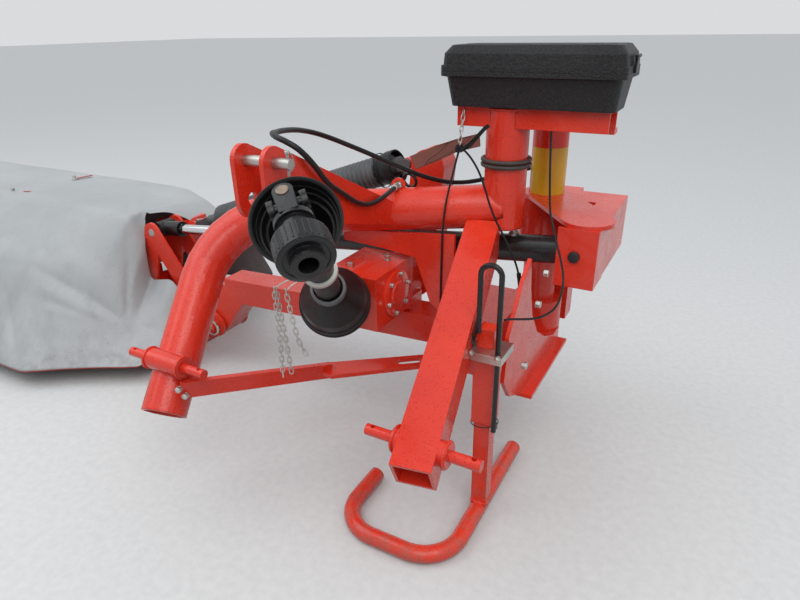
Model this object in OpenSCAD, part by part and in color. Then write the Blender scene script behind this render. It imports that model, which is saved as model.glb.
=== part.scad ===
// Side-mounted disc mower for a tractor's rear three-point linkage, 2.8 m wide,
// parked on its stand and its cutter bar with the cutting unit lowered.
// Millimetres. X runs to the tractor's left, Y to the rear and Z up from the ground.
// Places are measured from the middle of the two lower hitch pins, then moved by to_middle.

/* [Hitch] */
// Width between the inner shoulders of the lower hitch pins
hitch_inner = 683; // [640:1:720]
// Width over the outer shoulders of the lower hitch pins
hitch_outer = 965; // [940:1:1000]
// Height of the lower hitch pins over the ground
hitch_z = 458; // [430:1:490]
// Diameter of the lower hitch pins
hitch_pin_d = 28; // [22:0.5:36]
// Length of each pin past its shoulder
hitch_pin_reach = 76; // [60:1:90]
// Diameter of the linch pin holes
linch_d = 12; // [8:0.5:14]
// Height of the top link pin
top_pin_z = 1068; // [1040:1:1100]
// Diameter of the top link pin
top_pin_d = 25; // [20:0.5:30]
// Clear width between the top link plates
top_gap = 70; // [55:1:90]

/* [Headstock] */
// Outer diameter of the arch tube
arch_d = 130; // [110:1:140]
// Wall of the arch tube
arch_wall = 8; // [5:0.5:12]
// Bend radius of the arch tube's centre line
arch_bend = 250; // [200:5:280]
// Side of the square headstock tube
box_side = 98; // [80:1:110]
// Wall of the square headstock tube
box_wall = 8; // [5:0.5:12]
// Outer diameter of the front column
column_d = 122; // [100:1:135]
// Outer diameter of the rear pivot column
pivot_d = 114; // [90:1:125]
// Height of the front column's top
column_top = 1120; // [1100:1:1150]
// Thickness of the headstock's plates
plate_t = 12; // [8:0.5:16]

/* [Toolbox] */
// Width of the toolbox's rim
toolbox_w = 490; // [440:1:530]
// Depth of the toolbox's rim
toolbox_d = 205; // [170:1:240]
// Height of the toolbox's tapered lower part
toolbox_h = 92; // [80:1:120]
// Height of the lid
lid_h = 64; // [45:1:80]
// Wall of the toolbox
toolbox_wall = 4; // [3:0.5:6]

/* [Stand] */
// Side of the stand's square leg
stand_side = 45; // [35:1:50]
// Outer diameter of the stand's round foot tube
foot_d = 48.3; // [38:0.1:55]

/* [Arm] */
// Height of the swing arm's beam
arm_h = 100; // [80:1:110]
// Depth of the swing arm's beam, fore and aft
arm_w = 110; // [90:1:120]
// Bore of the fold hinge
hinge_d = 40; // [30:1:45]
// Outer diameter of the lift cylinder's barrel
barrel_d = 83; // [70:1:86]
// Diameter of the lift cylinder's rod
rod_d = 40; // [30:1:46]
// Diameter of the lift cylinder's pins
lift_pin_d = 32; // [25:1:36]

/* [Drive] */
// Outer diameter of the tractor shaft's front guard
front_guard_d = 176; // [150:1:190]
// Outer diameter of the tractor shaft's rear guard
rear_guard_d = 206; // [170:1:220]
// Outer diameter of the pull collar on the tractor shaft's yoke
pull_collar_d = 100; // [80:1:110]
// Bore of the tractor shaft's splined yoke
spline_d = 34.9; // [34:0.1:45]
// Outer diameter of the cross shaft's ribbed guard
bellows_d = 108; // [95:1:112]

/* [Mower] */
// Distance between discs
disc_pitch = 400; // [395:1:420]
// Long diameter of a disc
disc_long = 350; // [320:1:360]
// Short diameter of a disc
disc_short = 250; // [220:1:260]
// Radius of the circle that the blade tips cut
blade_reach = 232; // [220:1:240]
// Depth of the cutter bar, fore and aft
bar_depth = 180; // [160:1:220]
// Thickness of the cutter bar's housing
bar_h = 48; // [40:1:55]
// Height of the cutter bar's underside over the ground
bar_z = 42; // [35:1:46]
// Thickness of the cover's fabric and lining
cover_t = 6; // [4:0.5:9]
// Height of the cover's hem over the ground
hem_z = 76; // [60:1:110]
// Height of the cover's roof
roof_z = 620; // [605:1:625]

/* [Hidden] */
$fn = 48;

red = [0.86, 0.13, 0.06];
black = [0.07, 0.07, 0.08];
grey = [0.72, 0.73, 0.73];
steel = [0.7, 0.7, 0.72];

// Small clearances: round pins in their bores, faces that touch, and pieces that pass each other
pin_gap = 0.05;
face_gap = 0.3;
run_gap = 6;

// Hitch pins, each between two shoulders
pin_x = (hitch_inner + hitch_outer) / 4;
pin_shoulder = (hitch_outer - hitch_inner) / 2;
hitch_core_d = hitch_pin_d + 8;
collar_d = hitch_core_d + 24;

// Arch tube: lower end, corner of the two straights, end in the front column
column_at = [339, 688];
arch_low = [-pin_x, -46, hitch_z - 150];
arch_corner = [-530, 400, 775];
arch_end = [column_at[0], column_at[1], 838];

// Square tube: lower end in front of the right pin, upper end under the arch
box_low = [pin_x + 4, -52, hitch_z - 48];
box_top = [302, 632, 766];

// Rear column, the vertical axis that the arm swings back on
pivot_at = [387, 974];
pivot_z0 = 290;
base_z = 334;

// Fold hinge, lift cylinder and cross shaft: [x, z] in planes across Y
hinge_at = [-890, 180];
arm_y = 700;
lift_y = arm_y;
lift_base = [570, 728];
lift_eye = [-1183, 551];
drive_y = 850;
drive_top = [-62, 900];
drive_low = [-1100, 545];

// Gear housings on the arm
gearbox_at = [-22, 500, 575];
gearbox_size = [180, 230, 170];

// Tractor shaft, from its rear joint at the gearbox to the front yoke's joint
shaft_rear = [-22, 300, 610];
shaft_front = [211, -124, 1000];
guard_rim = 5;
joint_out = 75;
yoke_end = [349, -272, 987];

// Cutter bar and its seven discs
discs = 7;
bar_y = arm_y;
disc_x1 = -1330;
bar_end = blade_reach + 22;
bar_inner = disc_x1 + bar_end;
bar_outer = disc_x1 - (discs - 1) * disc_pitch - bar_end;
shoe_t = 14;
disc_z = bar_z + bar_h + 12;
disc_t = 14;
spindle_d = 40;
spindle_z = bar_z + 20;

// Cover: ends of the front flap and the roof along X, and the corners of its section
cover_in = -1560;
cover_out = bar_outer - 60;
hem_front = 96;
hem_rear = 1262;
slope_y = 330;
slope_z = 425;
ridge_y = 590;
notch_y = 945;
tail_y = 1130;

function unit(v) = v / norm(v);
function xz(p, y) = [p[0], y, p[1]];

shaft_dir = unit(shaft_front - shaft_rear);
yoke_joint = shaft_front + shaft_dir * joint_out;
yoke_dir = unit(yoke_end - yoke_joint);
yoke_len = norm(yoke_end - yoke_joint);
yoke_turn = unit(cross(shaft_dir, yoke_dir));
collar_front = yoke_len - 15;
lift_dir = unit(xz(lift_eye - lift_base, 0));
lift_len = norm(lift_eye - lift_base);
drive_dir = unit(xz(drive_low - drive_top, 0));
drive_len = norm(drive_low - drive_top);

// The whole part is moved so that the middle of its box stands at the origin
pin_box = 88;
x_max = lift_base[0] + pin_box;
x_min = cover_out - cover_t - face_gap;
y_min = yoke_joint[1] + yoke_dir[1] * collar_front
    - pull_collar_d / 2 * sqrt(1 - yoke_dir[1] * yoke_dir[1]);
y_max = hem_rear;
to_middle = [-(x_min + x_max) / 2, -(y_min + y_max) / 2, 0];

// Children drawn up +Z are turned along a direction from a point
function basis(d) = let (w = unit(d), u0 = abs(w[2]) > 0.95 ? [1, 0, 0] : [0, 0, 1],
    u = unit(cross(u0, w)), v = cross(w, u)) [u, v, w];
module along(p, d) {
    b = basis(d);
    multmatrix([[b[0][0], b[1][0], b[2][0], p[0]], [b[0][1], b[1][1], b[2][1], p[1]],
        [b[0][2], b[1][2], b[2][2], p[2]], [0, 0, 0, 1]]) children();
}
// Children drawn up +Z are turned along w from a point, with their X turned along u, at right angles to w
module framed(p, w, u) {
    v = cross(w, u);
    multmatrix([[u[0], v[0], w[0], p[0]], [u[1], v[1], w[1], p[1]], [u[2], v[2], w[2], p[2]], [0, 0, 0, 1]])
        children();
}
module rod(a, b, d) {
    along(a, b - a) cylinder(d = d, h = norm(b - a));
}

// Round bar of two straights joined by an arc of a given centre-line radius, bent at right angles
module square_bend(a, corner, b, radius, d) {
    d1 = unit(corner - a);
    d2 = unit(b - corner);
    t1 = corner - d1 * radius;
    centre = t1 + d2 * radius;
    n = cross(d1, d2);
    rod(a, t1, d);
    rod(corner + d2 * radius, b, d);
    multmatrix([[-d2[0], d1[0], n[0], centre[0]], [-d2[1], d1[1], n[1], centre[1]],
        [-d2[2], d1[2], n[2], centre[2]], [0, 0, 0, 1]])
        rotate_extrude(angle = 90) translate([radius, 0]) circle(d = d);
}

// Plates: an outline in the XZ plane spread along Y, and one in the YZ plane spread along X
module plate_xz(y, t) {
    translate([0, y + t / 2, 0]) rotate([90, 0, 0]) linear_extrude(t) children();
}
module plate_yz(x, t) {
    translate([x - t / 2, 0, 0]) rotate([90, 0, 90]) linear_extrude(t) children();
}
module bar_along_y(x, z, d, y0, y1) {
    translate([x, y1, z]) rotate([90, 0, 0]) cylinder(d = d, h = y1 - y0);
}
module bar_along_x(y, z, d, x0, x1) {
    translate([x0, y, z]) rotate([0, 90, 0]) cylinder(d = d, h = x1 - x0);
}
module bar_along_z(x, y, d, z0, z1) {
    translate([x, y, z0]) cylinder(d = d, h = z1 - z0);
}

// Loft through sections, each a list of as many points, in order round the outline
module loft(sections) {
    n = len(sections[0]);
    m = len(sections);
    points = [for (s = sections) for (p = s) p];
    sides = [for (j = [0 : m - 2]) for (i = [0 : n - 1]) let (k = (i + 1) % n,
        a = j * n + i, b = j * n + k, c = a + n, d = b + n)
        each i < n / 2 ? [[a, c, b], [b, c, d]] : [[a, c, d], [a, d, b]]];
    last = (m - 1) * n;
    caps = [for (i = [0 : n / 2 - 2]) let (a = n - 1 - i, b = n - 2 - i)
        each [[i, i + 1, b], [i, b, a], [last + b, last + i + 1, last + i], [last + a, last + b, last + i]]];
    polyhedron(points, concat(sides, caps), convexity = 6);
}

// HEADSTOCK
arch_in = unit(arch_corner - arch_low);
arch_out = unit(arch_end - arch_corner);
arch_turn = acos(arch_in * arch_out);
arch_cut = arch_bend * tan(arch_turn / 2);
arch_side = unit(arch_out - arch_in * (arch_in * arch_out));
arch_start = arch_corner - arch_in * arch_cut;
// Rings along the arch: its lower end, eight across the bend, its upper end
function arch_ring(p, w, side, d) = [for (a = [0 : 10 : 350])
    p + d / 2 * (cos(a) * side + sin(a) * cross(w, side))];
module arch_solid(d, longer = 0) {
    loft(concat([arch_ring(arch_low - arch_in * longer, arch_in, arch_side, d)],
        [for (i = [0 : 7]) let (a = i / 7 * arch_turn, w = arch_in * cos(a) + arch_side * sin(a),
            side = arch_side * cos(a) - arch_in * sin(a))
            arch_ring(arch_start + arch_side * arch_bend - side * arch_bend, w, side, d)],
        [arch_ring(arch_end + arch_out * longer, arch_out,
            arch_side * cos(arch_turn) - arch_in * sin(arch_turn), d)]));
}
// The straight stretches alone, for pieces that are fitted to them
module arch_rise(d) {
    rod(arch_low, arch_corner, d);
}
module arch_run(d) {
    rod(arch_corner, arch_end, d);
}
module arch_tube() {
    color(red) translate(to_middle) difference() {
        union() {
            arch_solid(arch_d);
            // collar at the foot that holds the left pin
            bar_along_x(0, hitch_z, collar_d, -pin_x - pin_shoulder / 2, -pin_x + pin_shoulder / 2);
        }
        arch_solid(arch_d - 2 * arch_wall, 5);
        bar_along_z(column_at[0], column_at[1], column_d + 2 * face_gap, 700, 1000);
        bar_along_x(0, hitch_z, hitch_core_d + 2 * pin_gap, -pin_x - 100, -pin_x + 100);
    }
}

box_dir = box_top - box_low;
module box_solid(side) {
    along(box_low, box_dir) translate([-side / 2, -side / 2, 0]) cube([side, side, norm(box_dir)]);
}
module box_tube() {
    color(red) translate(to_middle) difference() {
        union() {
            box_solid(box_side);
            // collar through the tube that carries the right pin
            bar_along_x(0, hitch_z, collar_d, pin_x - pin_shoulder / 2, pin_x + pin_shoulder / 2);
        }
        along(box_low, box_dir) translate([-box_side / 2 + box_wall, -box_side / 2 + box_wall, -1])
            cube([box_side - 2 * box_wall, box_side - 2 * box_wall, norm(box_dir) - 60]);
        bar_along_x(0, hitch_z, hitch_core_d + 2 * pin_gap, pin_x - 100, pin_x + 100);
        arch_run(arch_d + 2 * face_gap);
        bar_along_z(column_at[0], column_at[1], column_d + 2 * face_gap, 600, 1000);
    }
}

module hitch_pins() {
    end = pin_shoulder / 2 + hitch_pin_reach;
    color(red) translate(to_middle) for (side = [-1, 1]) translate([side * pin_x, 0, hitch_z])
        rotate([0, 90, 0]) difference() {
            union() {
                translate([0, 0, -end]) cylinder(d = hitch_pin_d, h = 2 * end);
                translate([0, 0, -pin_shoulder / 2]) cylinder(d = hitch_core_d, h = pin_shoulder);
            }
            for (z = [-end + 18, end - 18]) translate([-30, 0, z])
                rotate([0, 90, 0]) cylinder(d = linch_d, h = 60);
        }
}

// Web under the arch's straight run, cut away over the gearbox
gusset_y = 560;
module arch_gusset() {
    color(red) translate(to_middle) difference() {
        plate_xz(gusset_y, plate_t) polygon([[-150, 735], [240, 770], [240, 520], [200, 505],
            [160, 540], [110, 680], [0, 692], [-150, 700]]);
        arch_run(arch_d + 2 * face_gap);
        box_solid(box_side + 2 * face_gap);
    }
}

module front_column() {
    color(red) translate(to_middle) difference() {
        bar_along_z(column_at[0], column_at[1], column_d, 778, column_top);
        bar_along_z(column_at[0], column_at[1], column_d - 16, 790, column_top + 1);
    }
}

band_d = 12;
band_z = [963, 977];
module column_band() {
    color(black) translate(to_middle) for (z = band_z)
        translate([column_at[0], column_at[1], z]) rotate_extrude()
            translate([column_d / 2 + band_d / 2 + face_gap, 0]) circle(d = band_d, $fn = 16);
}

// Channel that carries the toolbox on the front column
tray_x = [205, 622];
tray_d = 100;
tray_t = 5;
flange_h = 50;
module toolbox_tray() {
    width = tray_x[1] - tray_x[0];
    color(red) translate(to_middle) difference() {
        translate([tray_x[0], column_at[1] - tray_d / 2, column_top]) {
            cube([width, tray_d, tray_t]);
            for (y = [0, tray_d - 6]) translate([0, y, -flange_h]) cube([width, 6, flange_h + 1]);
        }
        bar_along_z(column_at[0], column_at[1], column_d + 2 * face_gap, column_top - 100, column_top);
    }
}

// Toolbox: rounded rectangles of shrinking size, from the rim down and from the rim up
toolbox_x = 413;
toolbox_z = column_top + tray_t;
rim_r = 24;
rim_h = 12;
function rounded(w, d, r, z) = [for (c = [[1, 1, 0], [-1, 1, 90], [-1, -1, 180], [1, -1, 270]])
    for (a = [0 : 22.5 : 90]) [toolbox_x + c[0] * (w / 2 - r) + r * cos(c[2] + a),
        column_at[1] + c[1] * (d / 2 - r) + r * sin(c[2] + a), z]];
// Lid hinge behind the rim: a knuckle of the box between two lugs of the lid, at each side
rim_z = toolbox_z + toolbox_h;
lid_pin_d = 6;
knuckle_d = 14;
knuckle_h = 30;
knuckle_x = [toolbox_x - 150, toolbox_x + 150];
hinge_y = column_at[1] + toolbox_d / 2 + knuckle_d / 2 + 1;
module knuckle(x, h, z) {
    wall_y = column_at[1] + toolbox_d / 2 - 3;
    bar_along_x(hinge_y, rim_z, knuckle_d, x, x + h);
    translate([x, wall_y, rim_z + z]) cube([h, hinge_y - wall_y, 5]);
}
module toolbox() {
    t = 2 * toolbox_wall;
    color(black) translate(to_middle) {
        difference() {
            loft([rounded(toolbox_w - 44, toolbox_d - 60, rim_r, toolbox_z),
                rounded(toolbox_w - 24, toolbox_d - 30, rim_r, rim_z - rim_h - 4),
                rounded(toolbox_w, toolbox_d, rim_r, rim_z - rim_h), rounded(toolbox_w, toolbox_d, rim_r, rim_z)]);
            loft([rounded(toolbox_w - 44 - t, toolbox_d - 60 - t, rim_r - toolbox_wall, toolbox_z + toolbox_wall),
                rounded(toolbox_w - 24 - t, toolbox_d - 30 - t, rim_r - toolbox_wall, rim_z + 1)]);
        }
        for (x = knuckle_x) difference() {
            knuckle(x - knuckle_h / 2, knuckle_h, -7);
            bar_along_x(hinge_y, rim_z, lid_pin_d + 2 * pin_gap, x - knuckle_h, x + knuckle_h);
        }
    }
}
module toolbox_lid() {
    z = rim_z + face_gap;
    t = 2 * toolbox_wall;
    color(black) translate(to_middle) {
        difference() {
            loft([rounded(toolbox_w, toolbox_d, rim_r, z), rounded(toolbox_w, toolbox_d, rim_r, z + 14),
                rounded(toolbox_w - 10, toolbox_d - 10, rim_r, z + 16),
                rounded(toolbox_w - 14, toolbox_d - 14, rim_r, z + lid_h - 20),
                rounded(toolbox_w - 46, toolbox_d - 46, rim_r, z + lid_h)]);
            loft([rounded(toolbox_w - 14 - t, toolbox_d - 14 - t, rim_r - toolbox_wall, z - 1),
                rounded(toolbox_w - 14 - t, toolbox_d - 14 - t, rim_r - toolbox_wall, z + lid_h - 22),
                rounded(toolbox_w - 46 - t, toolbox_d - 46 - t, rim_r - toolbox_wall, z + lid_h - toolbox_wall)]);
        }
        for (x = knuckle_x) {
            for (lug = [x - knuckle_h / 2 - 13, x + knuckle_h / 2 + 1]) knuckle(lug, 12, 2);
            bar_along_x(hinge_y, rim_z, lid_pin_d, x - knuckle_h / 2 - 2, x + knuckle_h / 2 + 2);
        }
    }
}

base_w = 150;
base_y = 715;
tie_t = 14;
pivot_z1 = column_top - flange_h - face_gap - tie_t;
module pivot_column() {
    color(red) translate(to_middle) difference() {
        union() {
            bar_along_z(pivot_at[0], pivot_at[1], pivot_d, pivot_z0, pivot_z1);
            translate([pivot_at[0] - base_w / 2, base_y, pivot_z0])
                cube([base_w, pivot_at[1] - base_y, base_z - pivot_z0]);
            bar_along_z(pivot_at[0], pivot_at[1], base_w, pivot_z0, base_z);
        }
        bar_along_z(pivot_at[0], pivot_at[1], pivot_d - 20, pivot_z0 + 60, pivot_z1 + 1);
    }
}

// Fore-and-aft plate from the square tube down to the rear column's foot, open under the cylinder
side_x = pivot_at[0] + base_w / 2 + plate_t / 2;
module side_plate() {
    color(red) translate(to_middle) difference() {
        union() {
            plate_yz(side_x, plate_t) polygon([[380, 430], [400, 560], [500, 690], [560, 735], [575, 640],
                [610, 540], [680, 450], [780, 385], [900, base_z], [975, base_z], [975, pivot_z0],
                [560, pivot_z0], [440, 350]]);
            translate([side_x - 32, 560, pivot_z0 - plate_t]) cube([70, 415, plate_t]);
        }
        box_solid(box_side + 2 * face_gap);
    }
}

// Plate under the tray's rear flange, back to the rear column's head
module column_tie() {
    front = column_at[1] + tray_d / 2 - 12;
    color(red) translate(to_middle) difference() {
        translate([0, 0, pivot_z1]) linear_extrude(tie_t)
            polygon([[tray_x[1], front], [tray_x[1], front + 40], [pivot_at[0] + 60, pivot_at[1] + 40],
                [pivot_at[0] + 30, pivot_at[1] + 62], [pivot_at[0] - 30, pivot_at[1] + 62],
                [pivot_at[0] - 60, pivot_at[1] + 40], [tray_x[0] + 50, front + 40], [tray_x[0] + 50, front]]);
        bar_along_z(column_at[0], column_at[1], column_d + 2 * face_gap, column_top - 200, column_top);
    }
}

// Two plates with the top link pin, whose tails run down to the arch
top_y = 22;
second_hole = 90;
plate_head_d = 72;
plate_hole_d = 90;
plate_tail = [540, 815];
plate_tail_d = 66;
module top_link_plates() {
    color(red) translate(to_middle) difference() {
        for (side = [-1, 1]) plate_yz(side * (top_gap + plate_t) / 2, plate_t) hull() {
            translate([top_y, top_pin_z]) circle(d = plate_head_d, $fn = 32);
            translate([top_y + 10, top_pin_z - second_hole]) circle(d = plate_hole_d, $fn = 32);
            translate(plate_tail) circle(d = plate_tail_d, $fn = 32);
        }
        bar_along_x(top_y, top_pin_z, top_pin_d + 2 * pin_gap, -100, 100);
        bar_along_x(top_y + 10, top_pin_z - second_hole, 30, -100, 100);
        arch_run(arch_d + 2 * face_gap);
    }
}
module top_link_pin() {
    end = top_gap / 2 + plate_t;
    color(steel) translate(to_middle) union() {
        bar_along_x(top_y, top_pin_z, top_pin_d, -end - 12, end + 46);
        bar_along_x(top_y, top_pin_z, 40, -end - 12, -end - 1);
    }
}

// Brace from the arch's foot to the rear column's foot, with an eye slot near its corner
brace_points = [[-350, -20, 396], [-120, 385, 305]];
brace_foot = [680, 750];
module brace_bar() {
    a = brace_points[0];
    b = brace_points[1];
    color(red) translate(to_middle) difference() {
        union() {
            along(a, b - a) translate([-10, -25, 0]) cube([20, 50, norm(b - a)]);
            translate([0, 0, 298]) linear_extrude(14) polygon([[-150, 350], [-90, 350],
                [pivot_at[0] - base_w / 2, brace_foot[0]], [pivot_at[0] - base_w / 2, brace_foot[1]], [-150, 410]]);
        }
        arch_rise(arch_d + 2 * face_gap);
        translate([70, 530, 290]) rotate([0, 0, 39]) {
            for (x = [0, 50]) translate([x, 0, 0]) cylinder(d = 34, h = 40);
            translate([0, -17, 0]) cube([50, 34, 40]);
        }
    }
}

// STAND
stand_at = [440, 333];
sleeve_z = [330, 545];
sleeve_t = 6;
stand_top = 620;
slide_gap = 0.5;
module stand_sleeve() {
    inner = stand_side + 2 * slide_gap;
    outer = inner + 2 * sleeve_t;
    color(red) translate(to_middle) difference() {
        union() {
            translate([stand_at[0] - outer / 2, stand_at[1] - outer / 2, sleeve_z[0]])
                cube([outer, outer, sleeve_z[1] - sleeve_z[0]]);
            // welded pad to the square tube's side
            translate([stand_at[0] - outer / 2 - 24, stand_at[1] - 20, sleeve_z[1] - 70]) cube([24, 60, 70]);
        }
        translate([stand_at[0] - inner / 2, stand_at[1] - inner / 2, sleeve_z[0] - 1])
            cube([inner, inner, sleeve_z[1] - sleeve_z[0] + 2]);
        box_solid(box_side + 2 * face_gap);
    }
}
foot_r = 115;
foot_left = 100;
foot_front = 70;
module stand() {
    z = foot_d / 2;
    right_front = [stand_at[0], foot_front, z];
    left_front = [foot_left, foot_front, z];
    middle = (right_front + left_front) / 2;
    color(red) translate(to_middle) union() {
        square_bend([stand_at[0], 630, z], right_front, middle, foot_r, foot_d);
        square_bend(middle, left_front, [foot_left, 300, z], foot_r, foot_d);
        translate([stand_at[0] - stand_side / 2, stand_at[1] - stand_side / 2, z])
            cube([stand_side, stand_side, stand_top - z]);
    }
}
hook_at = [482, 290];
hook_d = 14;
module stand_clamp() {
    inner = stand_side + 2 * slide_gap;
    color(steel) translate(to_middle) difference() {
        translate([stand_at[0] - 34, hook_at[1] - 16, sleeve_z[1] + face_gap]) cube([92, 93, 22]);
        translate([stand_at[0] - inner / 2, stand_at[1] - inner / 2, sleeve_z[1] - 1])
            cube([inner, inner, 50]);
        bar_along_z(hook_at[0], hook_at[1], hook_d + 2 * pin_gap, 500, 600);
        box_solid(box_side + 2 * face_gap);
    }
}
module hook_rod() {
    color(black) translate(to_middle) union() {
        bar_along_z(hook_at[0], hook_at[1], hook_d, 330, 780);
        translate([hook_at[0] - 27, hook_at[1], 780]) rotate([90, 0, 0]) rotate_extrude(angle = 180)
            translate([27, 0]) circle(d = hook_d);
        bar_along_z(hook_at[0] - 54, hook_at[1], hook_d, 620, 780);
    }
}

// TRACTOR SHAFT: each piece along the shaft's line
core_d = 52;
guard_tube_d = 70;
guard_wall = 4;
// Joint fork of two ears about the axis' foot, which reach along the axis to their base
module fork(width, ear, reach, turn) {
    rotate([0, 0, turn]) for (side = [-1, 1]) hull() {
        translate([side * width / 2 - ear / 2, -17, reach]) cube([ear, 34, 1]);
        translate([side * width / 2 - ear / 2, 0, 0]) rotate([0, 90, 0]) cylinder(d = 38, h = ear, $fn = 32);
    }
}
module cross_pins(width, d) {
    for (turn = [0, 90]) rotate([0, 0, turn]) rotate([0, 90, 0]) translate([0, 0, -width / 2])
        cylinder(d = d, h = width);
}
yoke_hub_d = 60;
yoke_base = 52;
spline_depth = 72;
module front_yoke() {
    color(black) translate(to_middle) framed(yoke_joint, yoke_dir, yoke_turn) difference() {
        union() {
            translate([0, 0, yoke_base - 5]) cylinder(d = 74, h = 12);
            translate([0, 0, yoke_base]) cylinder(d = yoke_hub_d, h = yoke_len - yoke_base);
            // pull collar of the quick lock
            translate([0, 0, collar_front - 45]) cylinder(d = pull_collar_d, h = 45);
            fork(62, 12, yoke_base, 90);
            cross_pins(74, 20);
        }
        translate([0, 0, yoke_len - spline_depth]) cylinder(d = spline_d, h = spline_depth + 1);
    }
}
module shaft_core() {
    front_base = yoke_joint - shaft_dir * yoke_base;
    color(black) translate(to_middle) difference() {
        union() {
            framed(yoke_joint, -shaft_dir, yoke_turn) fork(62, 12, yoke_base, 0);
            rod(front_base, shaft_rear + shaft_dir * 34, core_d);
            for (end = [front_base, shaft_rear + shaft_dir * 34]) along(end, shaft_dir)
                translate([0, 0, -5]) cylinder(d = 72, h = 10);
            along(shaft_rear, shaft_dir) {
                fork(62, 12, 34, 0);
                rotate([0, 90, 0]) translate([0, 0, -37]) cylinder(d = 20, h = 74);
            }
        }
        rod(yoke_joint - yoke_turn * 50, yoke_joint + yoke_turn * 50, 20 + 2 * pin_gap);
    }
}
// Bell of revolution that opens upward: rim radius, throat radius, length
module bell(rim, throat, h) {
    t = guard_wall;
    waist = throat + (rim - throat) * 0.2;
    shoulder = throat + (rim - throat) * 0.75;
    rotate_extrude() polygon([[throat, 0], [waist, h * 0.15], [shoulder, h * 0.6], [rim - t, h],
        [rim, h], [shoulder + t, h * 0.58], [waist + t, h * 0.13], [throat + t, 0]]);
}
throat = guard_tube_d / 2 + face_gap;
module front_guard() {
    back = 110;
    color(black) translate(to_middle) along(shaft_front - shaft_dir * back, shaft_dir)
        bell(front_guard_d / 2, throat, back + guard_rim);
}
module rear_guard() {
    back = 130;
    color(black) translate(to_middle) along(shaft_rear + shaft_dir * back, -shaft_dir)
        bell(rear_guard_d / 2, throat, back + 14);
}
module guard_tube() {
    color(black) translate(to_middle) along(shaft_rear + shaft_dir * 60, shaft_dir) difference() {
        cylinder(d = guard_tube_d, h = norm(shaft_front - shaft_rear) - 120);
        translate([0, 0, -1]) cylinder(d = core_d + 2 * face_gap, h = norm(shaft_front - shaft_rear));
    }
}
module guard_collar() {
    color([0.9, 0.9, 0.88]) translate(to_middle) along(shaft_rear + shaft_dir * 300, shaft_dir) difference() {
        cylinder(d = 88, h = 16);
        translate([0, 0, -1]) cylinder(d = guard_tube_d + 2 * face_gap, h = 20);
    }
}

// ARM
boss_d = 170;
boss_z0 = base_z + face_gap;
boss_h = 110;
upper_boss = [640, 808];
yoke_plate = 12;
base_box_z = lift_base[1] - 94;
top_plate_r = 75;
module pivot_yoke() {
    color(red) translate(to_middle) difference() {
        union() {
            // bearing bosses round the rear column, joined by a web behind it
            bar_along_z(pivot_at[0], pivot_at[1], boss_d, boss_z0, boss_z0 + boss_h);
            bar_along_z(pivot_at[0], pivot_at[1], boss_d, upper_boss[0], upper_boss[1]);
            translate([pivot_at[0] - 60, pivot_at[1] + 66, boss_z0]) cube([150, 80, upper_boss[1] - boss_z0]);
            // box at the right, whose two plates hold the lift cylinder's base pin
            for (y = [lift_y - 58, lift_y + 46]) translate([lift_base[0] - 52, y, base_box_z])
                cube([114, yoke_plate, upper_boss[1] - base_box_z]);
            translate([lift_base[0] + 62 - yoke_plate, lift_y - 58, base_box_z])
                cube([yoke_plate, 120, upper_boss[1] - base_box_z]);
            translate([lift_base[0] - 12, lift_y + 46, upper_boss[0]])
                cube([74, pivot_at[1] + 100 - lift_y - 46, upper_boss[1] - upper_boss[0]]);
            translate([pivot_at[0], pivot_at[1] - 30, upper_boss[0]]) cube([180, 130, upper_boss[1] - upper_boss[0]]);
            // rounded plate over the box and the boss
            translate([0, 0, upper_boss[1]]) linear_extrude(yoke_plate) hull() {
                translate([x_max - top_plate_r, lift_y + 17]) circle(r = top_plate_r, $fn = 32);
                translate(pivot_at) circle(d = boss_d - 20, $fn = 32);
            }
        }
        bar_along_z(pivot_at[0], pivot_at[1], pivot_d + 2 * pin_gap, 300, 900);
        bar_along_y(lift_base[0], lift_base[1], lift_pin_d + 2 * pin_gap, lift_y - 80, lift_y + 80);
    }
}

arm_z0 = 346;
arm_root_x = 300;
arm_end = [hinge_at[0] + 70, 402];
module arm_outline(gap) {
    polygon([[arm_end[0], arm_end[1] + gap], [arm_root_x, arm_z0 + arm_h + gap], [arm_root_x, arm_z0],
        [arm_end[0], arm_end[1] - arm_h]]);
}
module swing_arm() {
    color(red) translate(to_middle) difference() {
        union() {
            plate_xz(arm_y, arm_w) arm_outline(0);
            // cranked root to the yoke's lower boss
            translate([190, arm_y - arm_w / 2, arm_z0]) cube([165, pivot_at[1] - arm_y + arm_w / 2, arm_h]);
            // knuckle down to the fold hinge
            plate_xz(arm_y, arm_w) hull() {
                translate(hinge_at) circle(d = 92, $fn = 32);
                translate([hinge_at[0] + 60, 300]) circle(d = 110, $fn = 32);
                translate([hinge_at[0] + 130, 345]) circle(d = 90, $fn = 32);
            }
        }
        bar_along_z(pivot_at[0], pivot_at[1], boss_d + 2 * face_gap, 300, 500);
        bar_along_y(hinge_at[0], hinge_at[1], hinge_d + 2 * pin_gap, arm_y - 100, arm_y + 100);
    }
}

link_gap = 5.3;
link_t = 12;
link_y = arm_w / 2 + link_gap + link_t / 2;
pin_end = link_y + link_t / 2 + 30;
module hinge_pin() {
    color(red) translate(to_middle) bar_along_y(hinge_at[0], hinge_at[1], hinge_d, arm_y - pin_end, arm_y + pin_end);
}

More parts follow.
